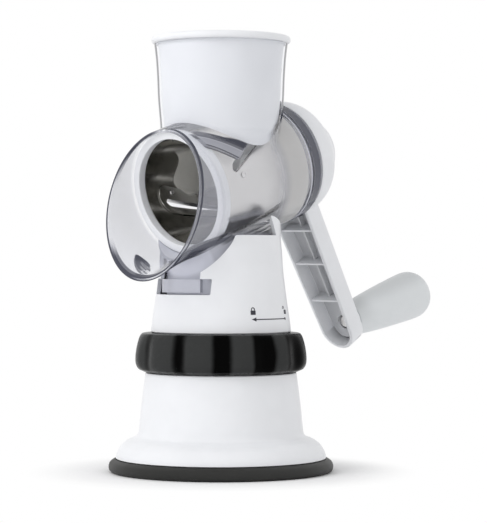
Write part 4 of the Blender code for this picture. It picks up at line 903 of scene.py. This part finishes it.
class CUTTER_OT_hopper(bpy.types.Operator):
    """White insert with its rolled rim"""
    bl_idname = "cutter.hopper"
    bl_label = "Hopper"

    def execute(self, context):
        kept = finishes()
        side = through(CHUTE_SIDE, 5)
        outer = (side - [0.0023, 0.0])[1:]
        inner = (side - [0.0043, 0.0])[::-1]
        rim = rounded([(0.0379, 0.2703), (0.0418, 0.2703), (0.0433, 0.2692), (0.0433, 0.2672),
                       (0.0424, 0.2659), (0.0393, 0.2659), (0.0373, 0.2659)],
                      [0.0008, 0.0014, 0.0009, 0.0009, 0.0005, 0.0002, 0.0])
        bead = rim[(rim[:, 0] > 0.0376) & (rim[:, 1] > 0.26585)]
        outline = np.vstack([bead, outer, inner[:-1]])
        hopper = lathe("white_hopper", outline)
        carved(hopper, tube_core(-0.0003))
        dressed(hopper, "chute", kept["white_moulding"], ["hopper"], 40.0)
        return {"FINISHED"}


DRUM_FRONT, DRUM_REAR = 0.0053, 0.0872
SLOT_FRONT, SLOT_LENGTH, SLOT_WIDTH = 0.0180, 0.0565, 0.0064
SLOT_TWIST = 13.1
DRUM_RADIUS = 0.0344
DRUM_WALL = 0.0010
BLADE_THICK = 0.0007
BLADE_LAND = 0.0088
RIVET_INSET = 0.0070
CUT_FROM, CUT_TO = 0.0285, 0.0395


def drum_radius(z):
    """Outer radius of the steel drum: 0.0344 at its front falling to 0.0333 at its rear."""
    return DRUM_RADIUS - 0.0011 * (np.asarray(z) - DRUM_FRONT) / (DRUM_REAR - DRUM_FRONT)


def slot_line(start, z):
    """Angle of a slot's middle line: it turns back evenly towards the crank."""
    return start - SLOT_TWIST * (np.asarray(z) - SLOT_FRONT)


def slot_starts():
    """Angle of each slot's middle at its front end."""
    return [radians(163.5) + i * pi / 2 for i in range(4)]


def rivet_places(start):
    """Angle and z of the two rivets beside a slot."""
    aside = (SLOT_WIDTH / 2 + BLADE_LAND * 0.55) / DRUM_RADIUS
    return [(float(slot_line(start, z)) + aside, z)
            for z in (SLOT_FRONT + RIVET_INSET, SLOT_FRONT + SLOT_LENGTH - RIVET_INSET)]


def outwards(angle, z):
    """A frame on the drum's axis whose Z points out through its wall."""
    return (DRUM_FRAME @ Matrix.Rotation(angle, 4, "Z") @ Matrix.Translation((0, 0, z))
            @ Matrix.Rotation(pi / 2, 4, "Y"))


def rivet_holes(start):
    return [prism("hole", circle(0.0013, 12), CUT_FROM, CUT_TO, outwards(*place))
            for place in rivet_places(start)]


def sections(name, radius, angle, z):
    """Outlines of (radius, angle, z), one row each, carried along the drum and capped."""
    return surface(name, placed(round_points(radius, angle, z), DRUM_FRAME), caps=True)


def slot_space(start, inset):
    """A cutter the shape of one slot, narrowed by an inset, with its corners rounded along z."""
    half, end = (SLOT_WIDTH / 2 - inset) / DRUM_RADIUS, 0.0028
    z = np.linspace(SLOT_FRONT + inset, SLOT_FRONT + SLOT_LENGTH - inset, 41)
    away = np.minimum(z - z[0], z[-1] - z)
    width = half * np.sqrt(np.clip(1 - (1 - np.clip(away / end, 0, 1)) ** 2, 0.04, 1.0))
    radius = np.array([CUT_FROM, CUT_TO, CUT_TO, CUT_FROM])[None]
    side = np.array([-1.0, -1.0, 1.0, 1.0])[None]
    angle = slot_line(start, z)[:, None] + side * width[:, None]
    return sections("slot", radius, angle, z[:, None])


class CUTTER_OT_drum(bpy.types.Operator):
    """Front ring, slotted steel drum, slicing blades, rivets and rear hub"""
    bl_idname = "cutter.drum"
    bl_label = "Cutting drum"

    def execute(self, context):
        kept = finishes()
        ring = rounded([(0.0335, 0.0), (0.0384, 0.0), (0.0384, 0.0067), (0.0347, 0.0067), (0.0347, 0.0050),
                        (0.0333, 0.0050)], [0.0007, 0.0008, 0.0005, 0.0003, 0.0003, 0.0003])
        dressed(lathe("mouth_ring", ring, DRUM_FRAME), "drum", kept["white_moulding"],
                ["drum_front_ring"], 40.0)
        self.shell(kept)
        for number, start in enumerate(slot_starts()):
            self.blade(kept, number + 1, start)
        places = [place for start in slot_starts() for place in rivet_places(start)]
        for number, (angle, z) in enumerate(places):
            outer = float(drum_radius(z)) + 0.0003
            inner = (float(drum_radius(z)) - DRUM_WALL) * cos(pi / 40) - BLADE_THICK - 0.0006
            shank, head = 0.0010, 0.0019
            line = rounded([(0.0, outer + 0.0004), (0.0013, outer + 0.0003), (head, outer), (shank, outer),
                            (shank, inner), (head, inner), (0.0013, inner - 0.0006), (0.0, inner - 0.0006)],
                           [0, 0.0004, 0.0001, 0, 0, 0.0001, 0.0004, 0], 3)
            rivet = lathe("rivet_%d" % (number + 1), line, outwards(angle, z), 20)
            dressed(rivet, "drum", kept["fixing_steel"], ["blade_rivet_%d" % (number + 1)])
        rear = DRUM_REAR - 0.0003
        hub = rounded([(0.0, rear), (0.0320, rear), (0.0320, rear - 0.0050), (0.0105, rear - 0.0050),
                       (0.0105, 0.0660), (0.0095, 0.0650), (0.0, 0.0650)],
                      [0, 0.0004, 0.0006, 0.0010, 0.0004, 0.0004, 0])
        hub = lathe("rear_hub", hub, DRUM_FRAME)
        carved(hub, six_sided(0.0685, rear + 0.01, DRUM_FRAME))
        dressed(hub, "drum", kept["white_moulding"], ["drum_hub"], 40.0)
        return {"FINISHED"}

    def shell(self, kept):
        """The drum's wall, a thin lathe with four slots that slant along it."""
        line = [(0.0323, DRUM_REAR), (0.0333, DRUM_REAR), (DRUM_RADIUS, DRUM_FRONT), (0.0334, DRUM_FRONT)]
        made = lathe("steel_drum", rounded(line, 0.0002, 2), DRUM_FRAME)
        for start in slot_starts():
            carved(made, slot_space(start, 0.0), *rivet_holes(start))
        dressed(made, "drum", kept["drum_steel"], ["cutting_drum"], 50.0)
        self.shade_inside_faces(made, kept)

    def shade_inside_faces(self, made, kept):
        """Give the faces that look towards the drum's axis the finish of its inside, a darker copy of the
        steel: painted shade inside the drum.
        """
        made.data.materials.append(kept["drum_inside_shaded"])
        centre = np.empty(len(made.data.polygons) * 3)
        normal = np.empty(len(made.data.polygons) * 3)
        made.data.polygons.foreach_get("center", centre)
        made.data.polygons.foreach_get("normal", normal)
        turn = np.array(DRUM_FRAME.to_3x3())
        centre = (centre.reshape(-1, 3) - np.array(DRUM_FRAME.translation)) @ turn
        normal = normal.reshape(-1, 3) @ turn
        inside = (centre[:, :2] * normal[:, :2]).sum(axis=1) < -0.8 * np.hypot(centre[:, 0], centre[:, 1])
        made.data.polygons.foreach_set("material_index", inside.astype(np.int32))

    def blade(self, kept, number, start):
        """A plate with round ends inside the wall, a slot through it, and a lip that rises in the slot.

        Along z the plate's two sides follow a quarter ellipse at each end, and the lip rises from
        the plate to the drum's outside between 4 mm and 6 mm from the plate's end.
        """
        low, high = SLOT_FRONT - 0.0036, SLOT_FRONT + SLOT_LENGTH + 0.0036
        fine = 0.008 * np.linspace(0, 1, 15) ** 2
        z = np.unique(np.concatenate([low + fine, np.linspace(low, high, 40)[5:-5], high - fine]))
        inset = np.minimum(z - low, high - z)
        middle = slot_line(start, z)[:, None]
        inner = ((drum_radius(z) - DRUM_WALL) * cos(pi / 40) - 0.0003)[:, None]
        share = np.sqrt(np.clip(1 - (1 - np.clip(inset / 0.0065, 0, 1)) ** 2, 0.02, 1.0))[:, None]
        span = np.linspace(-0.0050 - SLOT_WIDTH / 2, BLADE_LAND + SLOT_WIDTH / 2, 12)[None]
        across = (0.0019 + (span - 0.0019) * share) / DRUM_RADIUS
        ease = np.array([0.0002] + [0.0] * 10 + [0.0002])[None]
        radius = np.concatenate([inner - ease, (inner - BLADE_THICK + ease)[:, ::-1]], axis=1)
        angle = np.concatenate([middle + across, (middle + across)[:, ::-1]], axis=1)
        made = sections("blade_%d" % number, radius, angle, z[:, None])
        carved(made, slot_space(start, 0.0004))
        lip_start, lip_run = 0.0040, 0.0020
        keep = inset > lip_start
        z, inset, middle, inner = z[keep], inset[keep], middle[keep], inner[keep]
        rise = np.clip((inset - lip_start) / lip_run, 0.0, 1.0)[:, None]
        top = inner + (drum_radius(z)[:, None] + 0.0008 - inner) * rise
        root, foot = (SLOT_WIDTH / 2 - 0.0006) / DRUM_RADIUS, (SLOT_WIDTH / 2 + 0.0014) / DRUM_RADIUS
        lip = root - 0.0010 / DRUM_RADIUS
        radius = np.concatenate([inner - 0.0006, inner - 0.0006, top - BLADE_THICK * (1 - 0.7 * rise), top,
                                 inner - 0.0001, inner - 0.0001], axis=1)
        angle = middle + np.array([foot, root, lip, lip, root, foot])[None]
        fused(made, sections("lip", radius, angle, z[:, None]))
        carved(made, *rivet_holes(start))
        dressed(made, "drum", kept["fixing_steel"], ["slicing_blade_%d" % number], 30.0)
        self.shade_inside_faces(made, kept)


DOME_SIDE = [(0.0370, 0.0929), (0.0373, 0.0957), (0.0368, 0.1010), (0.0345, 0.1068), (0.0300, 0.1122),
             (0.0258, 0.1167), (0.0226, 0.1210)]


def arm_outline(inset):
    """Plan of the arm: straight sides that close in evenly, with a round end."""
    hub, end = 0.0171 - inset, 0.0134 - inset
    length = CRANK_RADIUS * hypot(1.0, ARM_RISE) + 0.0042
    slope = np.arcsin(0.0037 / (length - 0.0060))
    angle = np.linspace(-slope, pi + slope, 33)
    tip = np.stack([end * np.cos(angle), length + end * np.sin(angle)], axis=1)
    return np.vstack([[(-hub, 0.0060), (hub, 0.0060)], tip])


class CUTTER_OT_crank(bpy.types.Operator):
    """Domed hub, ribbed channel arm and round cover"""
    bl_idname = "cutter.crank"
    bl_label = "Crank"

    def execute(self, context):
        kept = finishes()
        side = through(DOME_SIDE, 6)
        inner = side[4:-3] - [0.0026, 0.0004]
        outline = np.vstack([[(0.0018, 0.1148), (0.0036, 0.1148), (0.0036, 0.1196), (0.0206, 0.1196),
                              (0.0206, 0.1214), (0.0212, 0.1216)], side[::-1], [(0.0345, 0.0929)], inner,
                             [(0.0193, 0.1166), (0.0098, 0.1166), (0.0098, 0.0933), (0.0018, 0.0933)]])
        hub = carved(lathe("hub", outline, CRANK_FRAME), six_sided(0.0829, 0.1121, CRANK_FRAME))
        depth, wall = 0.0124, 0.0022
        crank = eased(prism("crank", arm_outline(0.0), 0.0, depth, ARM_FRAME), 0.0009)
        carved(crank, prism("pocket", arm_outline(wall), -0.01, depth - wall, ARM_FRAME))
        web = ARM_FOOT + ARM_RISE * CRANK_RADIUS + depth
        fused(crank, prism("boss", circle(0.0104, 90), web - 0.0013, 0.1345, GRIP_FRAME))
        ribs = []
        for along in (0.0506, 0.0757, 0.1038):
            half = 0.0161 - 0.0041 * along / CRANK_RADIUS
            ribs.append(block("rib", (-half, along - 0.0006, 0.0012), (half, along + 0.0006, depth - 0.001),
                              ARM_FRAME))
        ribs.append(block("spine", (-0.0006, 0.02, depth / 2), (0.0006, 0.1038, depth - 0.001), ARM_FRAME))
        fused(crank, *ribs)
        carved(crank, prism("pin_hole", circle(0.0048, 48), 0.1013, 0.1445, GRIP_FRAME),
               prism("grip_seat", circle(0.0131, 90), 0.1337, 0.1540, GRIP_FRAME))
        core = side[1:] - [0.0013, 0.0002]
        trim = np.vstack([[(0.0, 0.1186), (0.0203, 0.1186)], core[::-1][3:],
                          [(0.0360, 0.0929), (0.060, 0.0929), (0.060, 0.04), (0.0, 0.04)]])
        carved(crank, lathe("trim", trim, CRANK_FRAME))
        fused(crank, hub)
        dressed(crank, "crank", kept["crank_moulding"], ["crank_arm"], 38.0)
        cover = np.vstack([through([(0.0, 0.1275), (0.0092, 0.1272), (0.0162, 0.1264), (0.0193, 0.1253),
                                    (0.0202, 0.1240), (0.0203, 0.1228)], 5),
                           [(0.0203, 0.1199), (0.0, 0.1199)]])
        dressed(lathe("crank_cover", cover, CRANK_FRAME), "crank", kept["white_moulding"],
                ["crank_cap"], 40.0)
        return {"FINISHED"}


class CUTTER_OT_grip(bpy.types.Operator):
    """Tapered grey grip"""
    bl_idname = "cutter.grip"
    bl_label = "Grip"

    def execute(self, context):
        kept = finishes()
        near, far, front, length = 0.0109, 0.0161, 0.1340, 0.0720
        rear = front + length
        flank = through([(0.0, rear), (far * 0.45, rear - 0.0002), (far * 0.78, rear - 0.0016),
                         (far * 0.94, rear - 0.0050), (far, rear - 0.0115),
                         (far - (far - near) * 0.23, front + length * 0.55),
                         (far - (far - near) * 0.55, front + length * 0.27),
                         (far - (far - near) * 0.80, front + length * 0.12), (near, front + 0.0010)], 6)
        outline = np.vstack([flank, [(near - 0.0003, front + 0.0003), (near - 0.0010, front), (0.0044, front),
                                     (0.0044, front + length * 0.7), (0.0, front + length * 0.7)]])
        dressed(lathe("grip", outline, GRIP_FRAME, 96), "knob", kept["grey_moulding"],
                ["knob_grip"], 40.0)
        return {"FINISHED"}


class CUTTER_OT_fixings(bpy.types.Operator):
    """Finishes for the small CAD pieces that are kept"""
    bl_idname = "cutter.fixings"
    bl_label = "Fixings"

    def execute(self, context):
        kept = finishes()
        steel = ["lift_stem", "cross_pin", "stem_spring", "drive_shaft", "crank_screw", "knob_axle"]
        steel += ["base_screw_%d" % i for i in range(1, 5)] + ["stand_screw_%d" % i for i in range(1, 4)]
        for names, finish in ((steel, "fixing_steel"), (["guide_plate", "shaft_bushing"], "inner_grey")):
            for name in names:
                node = NODES[name]
                for place in range(len(node.data.materials)):
                    node.data.materials[place] = kept[finish]
        return {"FINISHED"}


# Studio

class CUTTER_OT_stage(bpy.types.Operator):
    """Pale floor, white surroundings, soft lamps and the camera"""
    bl_idname = "cutter.stage"
    bl_label = "Stage"

    def execute(self, context):
        self.camera(context)
        self.lights(context)
        self.floor()
        return {"FINISHED"}

    def sides(self, stage):
        """Directions to the camera's right, and from the object to the camera's side."""
        azimuth = stage.azimuth
        return Vector((cos(azimuth), sin(azimuth), 0.0)), Vector((sin(azimuth), -cos(azimuth), 0.0))

    def camera(self, context):
        stage = context.scene.cutter_stage
        sensor, picture_height = 36.0, 523.0
        # Pixels by which the look is turned right and down from the stand's axis
        aside, down = 22.5, 5.4
        right, near = self.sides(stage)
        look = right * (aside / stage.focal) - near - UP * (down / stage.focal)
        data = bpy.data.cameras.new("camera")
        data.sensor_width = sensor
        data.lens = stage.focal * sensor / picture_height
        data.clip_end = 20.0
        camera = bpy.data.objects.new("camera", data)
        context.scene.collection.objects.link(camera)
        camera.location = near * stage.distance + UP * stage.height
        camera.rotation_euler = look.to_track_quat("-Z", "Y").to_euler()
        context.scene.camera = camera
        context.scene.view_settings.view_transform = "Standard"

    def seen(self, finish):
        """1 for rays from the camera, off glossy faces and through clear ones, and 0 for others."""
        camera, glossy, clear = finish.rays("Camera", "Glossy", "Transmission")
        return finish.limited(camera + glossy + clear)

    def lights(self, context):
        stage = context.scene.cutter_stage
        world = bpy.data.worlds.new("studio")
        context.scene.world = world
        sky = Finish("studio", world)
        light = sky.add("ShaderNodeBackground", None, WHITE_LIGHT, stage.ambient)
        white = sky.add("ShaderNodeBackground", None, WHITE_LIGHT, 1.0)
        sky.close(sky.add("ShaderNodeMixShader", None, self.seen(sky), light, white))
        right, near = self.sides(stage)
        target = UP * 0.14
        for name, place, power in (("key", near * 0.75 - right * 1.05 + UP * 0.9, stage.key),
                                   ("fill", near * 0.9 + right * 1.1 + UP * 0.6, stage.key * 0.08)):
            data = bpy.data.lights.new(name, "AREA")
            data.size = 0.8
            data.energy = power
            lamp = bpy.data.objects.new(name, data)
            context.scene.collection.objects.link(lamp)
            lamp.location = place
            lamp.rotation_euler = (target - place).to_track_quat("-Z", "Y").to_euler()
            lamp.visible_glossy = False

    def floor(self):
        """A flat sheet that keeps the shadow near the object and is plain white further out."""
        finish = Finish("floor")
        place = finish.place()
        length = finish.add("ShaderNodeVectorMath", {"operation": "LENGTH"}, place, out="Value")
        far = length.between(0.073, 0.125)
        grain = finish.noise(25.0, 2.0)
        tint = finish.shade((0.93, 0.93, 0.935), (0.95, 0.95, 0.955), grain)
        paper = finish.principled(Base_Color=tint, Roughness=0.85, Specular_IOR_Level=0.1)
        white = finish.add("ShaderNodeEmission", None, WHITE_LIGHT, 1.0)
        finish.close(finish.add("ShaderNodeMixShader", None, far * self.seen(finish), paper, white))
        reach = np.linspace(-3.0, 3.0, 7)
        x, y = np.meshgrid(reach, reach, indexing="ij")
        points = np.stack([x, y, 0 * x - 0.0002], axis=2).reshape(-1, 3)
        first = (np.arange(6)[:, None] * 7 + np.arange(6)[None]).reshape(-1)
        faces = np.stack([first, first + 7, first + 8, first + 1], axis=1)
        mesh = bpy.data.meshes.new("floor")
        mesh.from_pydata(points.tolist(), [], faces.tolist())
        mesh.materials.append(finish.material)
        floor = bpy.data.objects.new("floor", mesh)
        bpy.context.scene.collection.objects.link(floor)


class CUTTER_PT_panel(bpy.types.Panel):
    """Lists the pieces and their sizes"""
    bl_idname = "CUTTER_PT_panel"
    bl_label = "Vegetable cutter"
    bl_space_type = "VIEW_3D"
    bl_region_type = "UI"
    bl_category = "Cutter"

    def draw(self, context):
        for group in (context.scene.cutter_shape, context.scene.cutter_look, context.scene.cutter_stage):
            box = self.layout.box()
            for name in group.bl_rna.properties.keys():
                if name not in ("rna_type", "name"):
                    box.prop(group, name)
        for operator in OPERATORS:
            self.layout.operator(operator.bl_idname)


GROUPS = {"cutter_shape": CutterShape, "cutter_look": CutterLook, "cutter_stage": CutterStage}
OPERATORS = (CUTTER_OT_stage, CUTTER_OT_foot, CUTTER_OT_ring, CUTTER_OT_stand, CUTTER_OT_marks,
             CUTTER_OT_housing, CUTTER_OT_hopper, CUTTER_OT_drum, CUTTER_OT_crank, CUTTER_OT_grip,
             CUTTER_OT_fixings)


def register():
    for group in GROUPS.values():
        bpy.utils.register_class(group)
    for name, group in GROUPS.items():
        setattr(bpy.types.Scene, name, PointerProperty(type=group))
    for operator in OPERATORS:
        bpy.utils.register_class(operator)
    bpy.utils.register_class(CUTTER_PT_panel)


def unregister():
    bpy.utils.unregister_class(CUTTER_PT_panel)
    for operator in reversed(OPERATORS):
        bpy.utils.unregister_class(operator)
    for name, group in GROUPS.items():
        delattr(bpy.types.Scene, name)
        bpy.utils.unregister_class(group)


def main():
    register()
    for operator in OPERATORS:
        group, name = operator.bl_idname.split(".")
        getattr(getattr(bpy.ops, group), name)()


if __name__ == "__main__":
    main()
